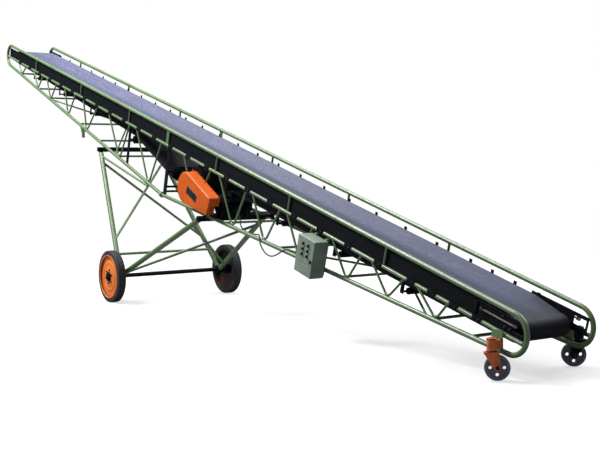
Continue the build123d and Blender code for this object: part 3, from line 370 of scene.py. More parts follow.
class Sculpt:
    """Collects turned and square forms into one mesh and makes a piece of them."""

    def __init__(self):
        self.shape = bmesh.new()

    def turned(self, profile, place, axis, sides, first=None):
        """A form turned round an axis: the profile has (radius, distance along the axis) rows."""
        axis = axis.normalized()
        guide = first or (ACROSS if abs(axis.dot(ACROSS)) < 0.9 else ALONG)
        one = (guide - axis * guide.dot(axis)).normalized()
        rings = [[self.shape.verts.new(place + axis * reach + out * radius)
                  for out in around(sides, one, axis.cross(one))] for radius, reach in profile]
        self.close(rings, rings[1:])

    def close(self, rings, following):
        """Faces between each ring and the one that follows it."""
        for here, there in zip(rings, following):
            count = len(here)
            for number in range(count):
                after = (number + 1) % count
                self.shape.faces.new((here[number], here[after], there[after], there[number]))

    def block(self, centre, size, axes=None):
        """A block with its edges along three axes."""
        axes = axes or (ALONG, ACROSS, UPRIGHT)
        corners = []
        for signs in ((one, *others) for one in BOTH_WAYS for others in CORNERS):
            corner = centre.copy()
            for sign, length, axis in zip(signs, size, axes):
                corner = corner + axis * (sign * length / 2)
            corners.append(self.shape.verts.new(corner))
        for ids in ((0, 1, 3, 2), (4, 6, 7, 5), (0, 4, 5, 1), (2, 3, 7, 6), (0, 2, 6, 4),
                    (1, 5, 7, 3)):
            self.shape.faces.new([corners[index] for index in ids])

    def bolt(self, place, axis, size, washer=True, first=None):
        """Hexagon head with its washer: size is the thread, and place is the seat."""
        lift = size * 0.18 if washer else 0.0
        if washer:
            self.turned(((0.0, -0.0002), (size * 1.05, -0.0002), (size * 1.08, lift * 0.6),
                         (size, lift), (0.0, lift)), place, axis, 16)
        head = size * 0.94
        high = lift + size * 0.66
        self.turned(((0.0, lift), (head, lift), (head, high * 0.9), (head * 0.86, high),
                     (0.0, high)), place, axis, 6, first=first)
        self.turned(((size * 0.5, high), (size * 0.5, high + size * 0.22),
                     (size * 0.4, high + size * 0.3), (0.0, high + size * 0.3)), place, axis, 10)

    def bead(self, place, axis, radius, thick=0.0028, sides=14):
        """Ring with a section of five sides, for welds and other small beads."""
        profile = [(radius + thick * math.cos(step * math.tau / 5),
                    thick * math.sin(step * math.tau / 5)) for step in range(6)]
        self.turned(profile, place, axis, sides)

    def make(self, name, body="conveyor", slot="dark_steel", finish=None, bevel=0.0, angle=35.0):
        """The finished piece, riding on its body, with the slot's finish if none is named."""
        bmesh.ops.remove_doubles(self.shape, verts=self.shape.verts, dist=1e-6)
        bmesh.ops.recalc_face_normals(self.shape, faces=self.shape.faces)
        mesh = bpy.data.meshes.new(name)
        self.shape.to_mesh(mesh)
        self.shape.free()
        piece = bpy.data.objects.new(name, mesh)
        bpy.context.scene.collection.objects.link(piece)
        mesh.polygons.foreach_set("use_smooth", [True] * len(mesh.polygons))
        mesh.set_sharp_from_angle(angle=math.radians(angle))
        mesh.materials.append(make_finishes()[finish or slot])
        if bevel:
            soften(piece, bevel)
        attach(piece, body)
        return piece


def soften(piece, width):
    """Round the sharp edges of a piece a little, so that they catch the light."""
    round_off = piece.modifiers.new("soft_edges", "BEVEL")
    round_off.width = width
    round_off.segments = 2
    round_off.limit_method = "ANGLE"
    round_off.angle_limit = math.radians(40.0)


def dress(node, material):
    """Give a carried-over CAD node its finish."""
    slots = NODES[node].data.materials
    slots.clear()
    slots.append(material)


FINISHES = {}


def make_finishes():
    """All finishes from the panel's colours, each made once."""
    if FINISHES:
        return FINISHES
    paint = bpy.context.scene.conveyor_paint
    wear = paint.wear
    FINISHES.update({
        "green_paint": enamel("green_paint", paint.green, 0.42, 0.9 * wear, 0.8 * wear,
                              dust=(0.07, 0.08, 0.04), coat=0.5),
        "orange_paint": enamel("orange_paint", paint.orange, 0.46, 0.6 * wear, 0.5 * wear,
                               dust=(0.30, 0.07, 0.01), gloss=0.3),
        "wheel_disc": enamel("wheel_disc", paint.disc, 0.5, wear, wear,
                             dust=(0.28, 0.12, 0.05), painted_shade_inside=True),
        "dark_steel": enamel("dark_steel", paint.dark, 0.58, 0.4 * wear, wear,
                             dust=(0.009, 0.011, 0.014), gloss=0.10),
        "box_paint": enamel("box_paint", paint.box, 0.42, 0.5 * wear, 1.2 * wear, 650.0,
                            dust=(0.20, 0.19, 0.09), coat=0.2, patches=6.5),
        "button": enamel("button", (0.022, 0.027, 0.023), 0.5, 0.1, 0.3, gloss=0.3),
        "caster_steel": enamel("caster_steel", (0.82, 0.200, 0.050), 0.5, wear, 2.4 * wear,
                               dust=(0.10, 0.060, 0.050), patches=9.0),
        "caster_wheel": rubber("caster_wheel", (0.19, 0.19, 0.26), 0.6, dust=0.25),
        "belt_rubber": belt_finish("belt_rubber", paint.belt),
        "tyre_rubber": rubber("tyre_rubber", paint.tyre),
        "bare_steel": bare_steel("bare_steel"),
        "cable_rubber": rubber("cable_rubber", (0.02, 0.02, 0.022), 0.5),
        "plate_black": enamel("plate_black", (0.012, 0.012, 0.014), 0.3, 0.1, 0.2),
        "bolt_black": enamel("bolt_black", shade(paint.dark, 1.6), 0.4, 1.2 * wear, wear, 900.0),
        "screw_steel": bare_steel("screw_steel", (0.58, 0.54, 0.54), 0.34, 0.4),
    })
    return FINISHES


class Step:
    """One step of the dressing: what it makes is in its dress_up."""

    def execute(self, context):
        self.dress_up(context.scene)
        return {"FINISHED"}


class CONVEYOR_OT_paint(Step, bpy.types.Operator):
    """Give every carried-over piece its finish."""
    bl_idname = "conveyor.paint"
    bl_label = "Paint the machine"

    SOFTENED = ("drive_guard", "control_door", "control_box", "leg_beams", "caster_plates",
                "caster_fork_near", "caster_fork_far", "end_bearings", "motor_base",
                "drive_cheeks", "motor", "idler_frames")

    def dress_up(self, scene):
        finishes = make_finishes()
        for row in frame["record"]["subparts"]:
            dress(row["node"], finishes[row["material_slot"]])
        for side in SIDES:
            dress(f"wheel_{side}", finishes["wheel_disc"])
        dress("box_buttons", finishes["button"])
        for node in self.SOFTENED:
            soften(NODES[node], 0.0012)


class CONVEYOR_OT_tyres(Step, bpy.types.Operator):
    """Solid rubber tyres with a shallow block tread."""
    bl_idname = "conveyor.tyres"
    bl_label = "Tyres"

    GROOVE_Y = 0.018
    GROOVE_TOP, GROOVE_FLOOR = 0.0036, 0.0026
    CUT_HALF = 0.0026

    def dress_up(self, scene):
        tyres = scene.conveyor_tyres
        for side, sign in SIDES.items():
            sculpt = Sculpt()
            self.shape_tyre(sculpt, wheel_centre(sign), tyres)
            piece = sculpt.make(f"tread_{side}", f"{side}_road_wheel", "tyre_rubber", angle=28.0)
            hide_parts(f"tyre_{side}")

    def shape_tyre(self, sculpt, centre, tyres):
        """Rings of points round the wheel. Each row has a radius, a place across and a kind:
        cross cuts sink 1, the shoulders, and 2, the middle, in turn, and never sink 0."""
        half = TYRE_WIDTH / 2
        depth = tyres.groove_depth
        top, floor = self.GROOVE_TOP, self.GROOVE_FLOOR
        rows = [(DISC_RADIUS + 0.0006, -half + 0.004, 0), (DISC_RADIUS + 0.006, -half, 0),
                (WHEEL_RADIUS - 0.020, -half, 0), (WHEEL_RADIUS - 0.014, -half + 0.0008, 0),
                (WHEEL_RADIUS - 0.005, -half + 0.0042, 1),
                (WHEEL_RADIUS - 0.0012, -half + 0.010, 1)]
        for line, before, behind in ((-self.GROOVE_Y, 1, 2), (self.GROOVE_Y, 2, 1)):
            rows += [(WHEEL_RADIUS, line - top, before), (WHEEL_RADIUS - depth, line - floor, 0),
                     (WHEEL_RADIUS - depth, line + floor, 0), (WHEEL_RADIUS, line + top, behind)]
        rows += [(radius, -across, kind) for radius, across, kind in rows[5::-1]]
        lug = math.tau / tyres.lugs
        cut = self.CUT_HALF / WHEEL_RADIUS
        rings = []
        for number in range(tyres.lugs):
            for share, kind_cut in ((0.5, 2), (1.0, 1)):
                for shift, cuts in ((-cut, 0), (-cut * 0.6, kind_cut), (cut * 0.6, kind_cut),
                                    (cut, 0)):
                    angle = (number + share) * lug + shift
                    ring = []
                    for radius, across, kind in rows:
                        radius -= depth * 0.8 if cuts and kind == cuts else 0.0
                        ring.append(sculpt.shape.verts.new(centre + Vector((
                            radius * math.cos(angle), across, radius * math.sin(angle)))))
                    rings.append(ring)
        sculpt.close(rings, [*rings[1:], rings[0]])


class CONVEYOR_OT_wheel_fittings(Step, bpy.types.Operator):
    """Rolled rim edges, disc bolts, hub caps and weld beads of the road wheels."""
    bl_idname = "conveyor.wheel_fittings"
    bl_label = "Wheel fittings"

    DISC_SEAT = 0.0262
    DISH_DEPTH = 0.016
    HUB_PLATE_RADIUS = 0.060
    SWAGE_RADIUS = 0.165
    BOLT_CIRCLE = 0.082
    BOLT_SEAT = 0.0408

    def dress_up(self, scene):
        face = TYRE_WIDTH / 2
        cap = face + 0.006
        edge = DISC_RADIUS - 0.008
        swage = self.SWAGE_RADIUS
        dished = (edge - swage) / (edge - self.HUB_PLATE_RADIUS)
        lift = self.DISC_SEAT + dished * self.DISH_DEPTH
        for side, sign in SIDES.items():
            body = f"{side}_road_wheel"
            outwards = ACROSS * sign
            centre = wheel_centre(sign)
            rings = Sculpt()
            rings.turned(((edge + 0.0075, face - 0.006), (edge + 0.011, face - 0.001),
                          (edge + 0.010, face + 0.003), (edge + 0.003, face + 0.003),
                          (edge - 0.001, face - 0.001), (edge - 0.0002, face - 0.008),
                          (edge + 0.0075, face - 0.006)), centre, outwards, 96)
            rings.bead(centre + outwards * 0.0265, outwards, edge - 0.002, 0.0032, 72)
            rings.turned(((swage + 0.013, lift - 0.002), (swage + 0.007, lift + 0.003),
                          (swage, lift + 0.0045), (swage - 0.007, lift + 0.004),
                          (swage - 0.013, lift - 0.001)), centre, outwards, 72)
            rings.make(f"rim_edges_{side}", body, "orange_paint", "wheel_disc")
            bolts = Sculpt()
            for out in around(6, LEVEL, UP, 0.25):
                bolts.bolt(centre + out * self.BOLT_CIRCLE + outwards * self.BOLT_SEAT, outwards,
                           0.011, first=out)
            bolts.turned(((0.046, cap - 0.001), (0.046, cap + 0.004), (0.040, cap + 0.008),
                          (0.030, cap + 0.0095), (0.030, cap + 0.0065), (0.0, cap + 0.0065)),
                         centre, outwards, 40)
            bolts.bolt(centre + outwards * (cap + 0.005), outwards, 0.016, washer=False)
            bolts.make(f"hub_bolts_{side}", body)


class CONVEYOR_OT_guard_fittings(Step, bpy.types.Operator):
    """Rim screws, the blank plate and its trim and rivets on the drive guard."""
    bl_idname = "conveyor.guard_fittings"
    bl_label = "Guard fittings"

    SCREWS = (
        # s, w
        (0.655, -0.215), (0.632, -0.345), (0.690, -0.455), (0.800, -0.500), (0.940, -0.497),
        (1.120, -0.489), (0.760, -0.130), (0.890, -0.129), (1.060, -0.178), (1.230, -0.224),
        (1.385, -0.258),
    )
    PLATE_PLACE = (0.995, -0.338)
    PLATE_LENGTH, PLATE_HEIGHT = 0.250, 0.092
    PLATE_TURN = math.radians(-11.0)
    TRIM_INSET = 0.0065

    def dress_up(self, scene):
        screws = Sculpt()
        for place in self.SCREWS:
            screws.bolt(spot(*place, GUARD_RIM), -ACROSS, 0.008)
        screws.make("guard_screws", slot="orange_paint")
        turn = self.PLATE_TURN
        long_way = ALONG * math.cos(turn) + UPRIGHT * math.sin(turn)
        high_way = UPRIGHT * math.cos(turn) - ALONG * math.sin(turn)
        centre = spot(*self.PLATE_PLACE, GUARD_FRONT)
        plate = Sculpt()
        plate.block(centre - ACROSS * 0.0012, (self.PLATE_LENGTH, 0.0022, self.PLATE_HEIGHT),
                    (long_way, ACROSS, high_way))
        plate.make("blank_plate", finish="plate_black", bevel=0.0008)
        trim = Sculpt()
        long_reach = self.PLATE_LENGTH / 2 - self.TRIM_INSET
        high_reach = self.PLATE_HEIGHT / 2 - self.TRIM_INSET
        for way, across, length, reach in ((long_way, high_way, 0.236, high_reach),
                                           (high_way, long_way, 0.079, long_reach)):
            for sign in BOTH_WAYS:
                trim.block(centre + across * reach * sign - ACROSS * 0.0026,
                           (length, 0.0008, 0.0026), (way, ACROSS, across))
        for one, two in CORNERS:
            trim.turned(((0.0, -0.0005), (0.0036, -0.0005), (0.0034, 0.0010), (0.0022, 0.0021),
                         (0.0, 0.0025)),
                        centre + long_way * (long_reach - 0.008) * one
                        + high_way * (high_reach - 0.007) * two - ACROSS * 0.0022, -ACROSS, 12)
        trim.make("plate_trim", slot="bare_steel")


class CONVEYOR_OT_motor_fittings(Step, bpy.types.Operator):
    """Cooling fins, end bells, cowl slots and terminal box lid of the motor."""
    bl_idname = "conveyor.motor_fittings"
    bl_label = "Motor fittings"

    START, LENGTH = -0.312, 0.330
    RADIUS = 0.098
    FOOT_SIDE = -0.60  # no fins below this share of their reach: the foot is there
    BELL_WIDTH = 0.034
    COWL_LENGTH = 0.046
    COWL_RINGS = (0.022, 0.040, 0.058, 0.076)
    BOX_PLACE = (1.4425, -0.3925, -0.180)

    def dress_up(self, scene):
        motor = scene.conveyor_motor
        fins = Sculpt()
        centre = spot(*MOTOR)
        height = motor.fin_height
        for out in around(motor.fins, ALONG, UPRIGHT):
            if out.dot(UPRIGHT) < self.FOOT_SIDE:
                continue
            fins.block(centre + ACROSS * (self.START + self.LENGTH / 2)
                       + out * (self.RADIUS + height / 2),
                       (height + 0.002, self.LENGTH - 2 * self.BELL_WIDTH - 0.002, 0.0028),
                       (out, ACROSS, ACROSS.cross(out)))
        half = self.BELL_WIDTH / 2
        for middle in (self.START + half, self.START + self.LENGTH - half):
            fins.turned(((0.0975, -half), (0.104, -half + 0.002), (0.1055, -half * 0.4),
                         (0.1055, half * 0.4), (0.104, half - 0.002), (0.0975, half)),
                        centre + ACROSS * middle, ACROSS, 56)
        cowl = self.START + self.LENGTH + self.COWL_LENGTH
        for radius in self.COWL_RINGS:
            fins.bead(centre + ACROSS * (cowl + 0.0005), ACROSS, radius, 0.0022, 40)
        for out in around(8, ALONG, UPRIGHT):
            fins.block(centre + ACROSS * (cowl + 0.0008) + out * 0.046, (0.074, 0.003, 0.004),
                       (out, ACROSS, ACROSS.cross(out)))
        for out in around(4, ALONG, UPRIGHT, 0.5):
            fins.bolt(centre + ACROSS * self.START + out * 0.082, -ACROSS, 0.008)
        box = spot(*self.BOX_PLACE)
        lid = box - ALONG * 0.034
        fins.block(lid + UPRIGHT * 0.049, (0.070, 0.116, 0.006))
        fins.block(box - ALONG * 0.0005 + UPRIGHT * 0.010, (0.005, 0.100, 0.070))
        for one, two in CORNERS:
            fins.bolt(lid + UPRIGHT * 0.052 + ALONG * 0.027 * one + ACROSS * 0.049 * two, UPRIGHT,
                      0.005, washer=False)
        fins.make("motor_fins", bevel=0.0006)


class CONVEYOR_OT_cable(Step, bpy.types.Operator):
    """Motor cable in its loop, with a boot at each end."""
    bl_idname = "conveyor.cable"
    bl_label = "Motor cable"

    ROUTE = (
        # s, w, y
        (1.440, -0.400, -0.180), (1.520, -0.400, -0.180), (1.620, -0.430, -0.222),
        (1.740, -0.468, -0.282), (1.880, -0.479, -0.314), (2.030, -0.466, -0.317),
        (2.130, -0.438, -0.318), (2.205, -0.414, -0.333), (2.265, -0.412, -0.366),
        (2.325, -0.442, -0.396), (2.400, -0.492, -0.404), (2.490, -0.520, -0.406),
        (2.585, -0.514, -0.408), (2.675, -0.470, -0.410), (2.755, -0.405, -0.413),
        (2.855, -0.345, -0.420), (2.970, -0.316, -0.440), (3.100, -0.304, -0.466),
        (3.180, -0.304, -0.466),
    )
    BOOT = (
        # radius, reach along the cable
        (0.0, 0.0002), (0.0165, 0.0002), (0.0165, 0.006), (0.0125, 0.008), (0.0115, 0.018),
        (0.0125, 0.019), (0.0110, 0.021), (0.0102, 0.031), (0.0110, 0.032), (0.0096, 0.034),
        (0.0086, 0.046), (0.0068, 0.048),
    )

    def dress_up(self, scene):
        places = [spot(*row) for row in self.ROUTE]
        curve = bpy.data.curves.new("motor_lead", "CURVE")
        curve.dimensions = "3D"
        curve.bevel_depth = 0.007
        curve.bevel_resolution = 5
        curve.resolution_u = 16
        spline = curve.splines.new("NURBS")
        spline.points.add(len(places) - 1)
        for point, place in zip(spline.points, places):
            point.co = (*place, 1.0)
        spline.order_u = 3
        spline.use_endpoint_u = True
        lead = bpy.data.objects.new("motor_lead", curve)
        scene.collection.objects.link(lead)
        curve.materials.append(make_finishes()["cable_rubber"])
        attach(lead, "conveyor")
        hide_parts("motor_cable")
        boots = Sculpt()
        for place, way in ((places[0], ALONG), (places[-1], -ALONG)):
            boots.turned(self.BOOT, place, way, 28)
        boots.make("cable_boots", slot="cable_rubber")


class CONVEYOR_OT_box_fittings(Step, bpy.types.Operator):
    """Lock, gasket, button bezels, blank name strips and gland nuts of the control box."""
    bl_idname = "conveyor.box_fittings"
    bl_label = "Box fittings"

    BUTTONS = [(column, row) for column in (-0.038, 0.044) for row in (0.112, 0.062, 0.012)]
    LOCK = (0.112, -0.020)
    SEAL_Y = -0.5295
    GLAND_Y = -0.466

    def dress_up(self, scene):
        door = Sculpt()
        for column, row in self.BUTTONS:
            place = self.on_box(column, row)
            door.turned(((0.0165, -0.0002), (0.0165, 0.003), (0.0150, 0.0045),
                         (0.0135, 0.0045), (0.0135, -0.0002)), place, -ACROSS, 32)
            door.turned(((0.0125, 0.0138), (0.0118, 0.0155), (0.009, 0.0168), (0.0, 0.0174)),
                        place, -ACROSS, 28)
        lock = self.on_box(*self.LOCK)
        door.turned(((0.0, 0.0), (0.014, 0.0), (0.014, 0.004), (0.011, 0.006), (0.011, 0.010),
                     (0.009, 0.0115), (0.0, 0.0115)), lock, -ACROSS, 28)
        door.block(lock - ACROSS * 0.014, (0.007, 0.008, 0.034))
        door.make("door_fittings", "box_door", finish="button", bevel=0.0005)
        strips = Sculpt()
        for column, row in self.BUTTONS:
            strips.block(self.on_box(column, row + 0.0235, BOX_FRONT - 0.0006),
                         (0.034, 0.0012, 0.009))
        strips.make("name_strips", "box_door", "box_paint")
        seal = Sculpt()
        for sign in BOTH_WAYS:
            seal.block(self.on_box(0.0, 0.168 * sign, self.SEAL_Y), (0.262, 0.0009, 0.006))
            seal.block(self.on_box(0.128 * sign, 0.0, self.SEAL_Y), (0.006, 0.0009, 0.330))
        seal.make("door_seal", slot="cable_rubber")
        nuts = Sculpt()
        for place, way in ((self.on_box(-0.1353, -0.066, self.GLAND_Y), -ALONG),
                           (self.on_box(0.0, -0.1753, self.GLAND_Y), -UPRIGHT)):
            nuts.turned(((0.0203, 0.0006), (0.0238, 0.0006), (0.0238, 0.0105), (0.0222, 0.012),
                         (0.0203, 0.012)), place, way, 6)
            for ring in range(5):
                nuts.bead(place + way * (0.0150 + 0.0026 * ring), way, 0.0200, 0.0009, 28)
        nuts.make("gland_nuts")

    def on_box(self, across, upright, y=BOX_FRONT):
        """Place counted from the middle of the control box."""
        return spot(BOX[0] + across, BOX[1] + upright, y)


class CONVEYOR_OT_fasteners(Step, bpy.types.Operator):
    """Bolts of the idler feet, end plates, bearings, beams and motor base."""
    bl_idname = "conveyor.fasteners"
    bl_label = "Fasteners"

    FOOT_Y = 0.3753
    PLATE_Y = 0.3304
    BEARINGS = (-5.790, 5.720)
    PLATE_BOLTS = (-5.75, -5.42, 5.35, 5.66)
    BEAMS = (-1.608, 1.150)
    BASE_BOLTS = [(s, y) for s in (1.240, 1.340) for y in (-0.265, -0.030)]

    def dress_up(self, scene):
        bolts = Sculpt()
        for sign in SIDES.values():
            out = ACROSS * sign
            for s in IDLERS:
                for shift in (-0.030, 0.030):
                    bolts.bolt(spot(s + shift, -0.0260, sign * self.FOOT_Y), out, 0.008)
            for s in self.BEARINGS:
                for one, two in CORNERS:
                    bolts.bolt(spot(s + 0.026 * one, -0.016 + 0.026 * two, sign * self.PLATE_Y),
                               out, 0.010)
            for s in self.PLATE_BOLTS:
                bolts.bolt(spot(s, 0.082, sign * self.PLATE_Y), out, 0.009)
        bolts.make("frame_bolts", finish="bolt_black")
        fixings = Sculpt()
        for s in self.BEAMS:
            for sign in SIDES.values():
                for shift in (-0.014, 0.014):
                    fixings.bolt(spot(s + shift, chord_w(s) - TUBE - 0.001, sign * 0.420),
                                 UPRIGHT, 0.009)
        for s, y in self.BASE_BOLTS:
            fixings.bolt(spot(s, -0.486, y), UPRIGHT, 0.010)
        fixings.make("base_bolts", finish="bolt_black")


class CONVEYOR_OT_caster_fittings(Step, bpy.types.Operator):
    """Axle nuts, swivel seals, grease nipples and plate bolts of the casters."""
    bl_idname = "conveyor.caster_fittings"
    bl_label = "Caster fittings"

    SWIVEL_X, SWIVEL_Y = 5.490, 0.470
    SWIVEL = {"near": math.radians(52.0), "far": math.radians(232.0)}
    TRAIL = 0.042
    AXLE_Z = 0.095
    PLATE_X, PLATE_Y = 5.455, 0.3813

    def dress_up(self, scene):
        for side, sign in SIDES.items():
            turn = self.SWIVEL[side]
            trail = LEVEL * math.cos(turn) + ACROSS * math.sin(turn)
            axis = ACROSS * math.cos(turn) - LEVEL * math.sin(turn)
            pivot = Vector((self.SWIVEL_X, sign * self.SWIVEL_Y, 0.0))
            centre = pivot + trail * self.TRAIL + UP * self.AXLE_Z
            nuts = Sculpt()
            for way in (-axis, axis):
                nuts.bolt(centre + way * 0.0312, way, 0.015)
            nuts.make(f"caster_nuts_{side}", f"{side}_caster_fork", finish="bolt_black")
            race = Sculpt()
            race.turned(((0.0362, 0.0), (0.0392, 0.0006), (0.0392, 0.0080), (0.0362, 0.0100)),
                        pivot + UP * 0.2125, UP, 40)
            race.turned(((0.0362, 0.0), (0.0385, 0.0010), (0.0385, 0.0060), (0.0362, 0.0070)),
                        pivot + UP * 0.3050, UP, 40)
            race.turned(((0.0, 0.0), (0.0042, 0.0), (0.0042, 0.004), (0.0026, 0.005),
                         (0.0026, 0.009), (0.0, 0.010)),
                        pivot + UP * 0.262 - trail * 0.0358, -trail, 12)
            race.make(f"swivel_seals_{side}", finish="bolt_black")
            bolts = Sculpt()
            for x in (-0.042, 0.042):
                for z in (0.235, 0.300):
                    bolts.bolt(Vector((self.PLATE_X + x, sign * self.PLATE_Y, z)), ACROSS * sign,
                               0.010)
            bolts.make(f"caster_bolts_{side}", slot="green_paint")
            rings = Sculpt()
            for face in BOTH_WAYS:
                rings.bead(centre + axis * 0.0192 * face, axis, 0.0745, 0.0016, 56)
                rings.bead(centre + axis * 0.0072 * face, axis, 0.0300, 0.0018, 32)
            rings.make(f"caster_rings_{side}", f"{side}_caster_wheel", "caster_wheel")


class CONVEYOR_OT_screws(Step, bpy.types.Operator):
    """Threaded take-up screws with their nuts."""
    bl_idname = "conveyor.screws"
    bl_label = "Take-up screws"

    START, FINISH = 5.429, 5.815
    SCREW_W, SCREW_Y = 0.057, 0.3394
    PITCH = 0.003
    ROOT, CREST = 0.0067, 0.0079
    NUTS = (5.4355, 5.4565, 5.7865, 5.8075)

    def dress_up(self, scene):
        screws, nuts = Sculpt(), Sculpt()
        length = self.FINISH - self.START
        profile = [(0.0, 0.0), (self.ROOT - 0.0001, 0.0)]
        for number in range(int(length / self.PITCH)):
            profile += [(self.CREST, self.PITCH * (number + 0.5)),
                        (self.ROOT, self.PITCH * (number + 1))]
        profile.append((0.0, length))
        for sign in SIDES.values():
            y = sign * self.SCREW_Y
            screws.turned(profile, spot(self.START, self.SCREW_W, y), ALONG, 14)
            for s in self.NUTS:
                nuts.turned(((0.0078, -0.005), (0.0138, -0.005), (0.0150, -0.0038),
                             (0.0150, 0.0038), (0.0138, 0.005), (0.0078, 0.005)),
                            spot(s, self.SCREW_W, y), ALONG, 6)
        nuts.make("screw_nuts", finish="bolt_black")
        piece = screws.make("threaded_screws", slot="bare_steel", finish="screw_steel")
        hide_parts("take_up_screws")


class CONVEYOR_OT_boards(Step, bpy.types.Operator):
    """Side boards in lapped and riveted sheets, with sealing strips between the idlers. The near
    board stands taller than the far one, as a dark sheet of painted shade under the near rail.
    """
    bl_idname = "conveyor.boards"
    bl_label = "Side boards"

    START, FINISH = -5.370, 5.384
    SHEETS = 5
    LOW = -0.0072
    # The near board's extra height is a dark sheet that stands for painted shade under the near
    # rail
    HIGH = {"near": 0.133, "far": 0.078}
    MIDDLE_Y = 0.3382
    IDLER_ROOM = 0.134
    RIVET = ((0.0, 0.0), (0.0046, 0.0), (0.0040, 0.0013), (0.0020, 0.0021), (0.0, 0.0023))

    def dress_up(self, scene):
        boards = Sculpt()
        length = (self.FINISH - self.START) / self.SHEETS
        low = self.LOW
        for side, sign in SIDES.items():
            high = self.HIGH[side]
            middle, y = (low + high) / 2, sign * self.MIDDLE_Y
            for number in range(self.SHEETS):
                s = self.START + length * (number + 0.5)
                boards.block(spot(s, middle, y), (length - 0.0015, 0.0028, high - low))
                boards.block(spot(s, high - 0.0035, y - sign * 0.0040),
                             (length - 0.0015, 0.0060, 0.0030))
                boards.block(spot(s, low + 0.045, y + sign * 0.0016),
                             (length - 0.080, 0.0014, 0.0100))
                if number:
                    boards.block(spot(self.START + length * number, middle, y + sign * 0.0020),
                                 (0.044, 0.0016, high - low - 0.004))
                for step in range(-2, 3):
                    for w in (low + 0.012, high - 0.014):
                        boards.turned(self.RIVET,
                                      spot(s + length * step * 0.22, w, y + sign * 0.0014),
                                      ACROSS * sign, 10)
            for s, following in zip(IDLERS, IDLERS[1:]):
                boards.block(spot((s + following) / 2, -0.0140, y),
                             (following - s - self.IDLER_ROOM, 0.0026, 0.0130))
        piece = boards.make("lapped_boards_and_shade_sheet")
        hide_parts("side_boards")


class CONVEYOR_OT_welds(Step, bpy.types.Operator):
    """Weld beads where rods, posts and ties meet the chords."""
    bl_idname = "conveyor.welds"
    bl_label = "Welds"

    WEBS = (
        # bend, head top, tail top
        (-5.210, -5.420, -5.030), (-4.457, -4.680, -4.270), (-3.888, -4.110, -3.690),
        (-3.148, -3.356, -2.938), (-2.427, -2.649, -2.136), (-1.305, -1.758, -1.077),
        (-0.399, -0.871, -0.147), (0.838, 0.441, 1.101), (1.687, 1.292, 1.885),
        (2.337, 2.006, 2.555), (2.981, 2.675, 3.138), (3.752, 3.456, 3.923),
        (4.346, 4.058, 4.532), (4.962, 4.691, 5.090),
    )
    POSTS = (-4.590, -2.746, -1.110, 1.207, 2.691, 4.238)
    POST_ENDS = (-0.0135, 0.1358)
    SPLICE = 0.0145

    def dress_up(self, scene):
        beads = Sculpt()
        for sign in SIDES.values():
            y = sign * HALF_WIDTH
            for bend, *tops in self.WEBS:
                low = spot(bend, chord_w(bend) + TUBE + 0.011, y)
                for top in tops:
                    high = spot(top, MIDDLE_CHORD_W, y)
                    way = (low - high).normalized()
                    beads.bead(high + way * 0.0190, way, 0.0112)
                beads.block(low - UPRIGHT * 0.0085, (0.052, 0.0120, 0.006))
            for s in self.POSTS:
                for w in self.POST_ENDS:
                    beads.bead(spot(s, w, y), UPRIGHT, 0.0122)
            for one, two in CORNERS:
                place = spot(HALF_LENGTH * one, -LOOP_RADIUS * two, y)
                beads.bead(place, ALONG, 0.0205, 0.0022, 24)
            for way in BOTH_WAYS:
                beads.bead(spot(self.SPLICE * way, -CHORD_DEPTH, y), ALONG, 0.0225, 0.0034, 24)
        beads.make("weld_beads", slot="green_paint", angle=80.0)


# Studio

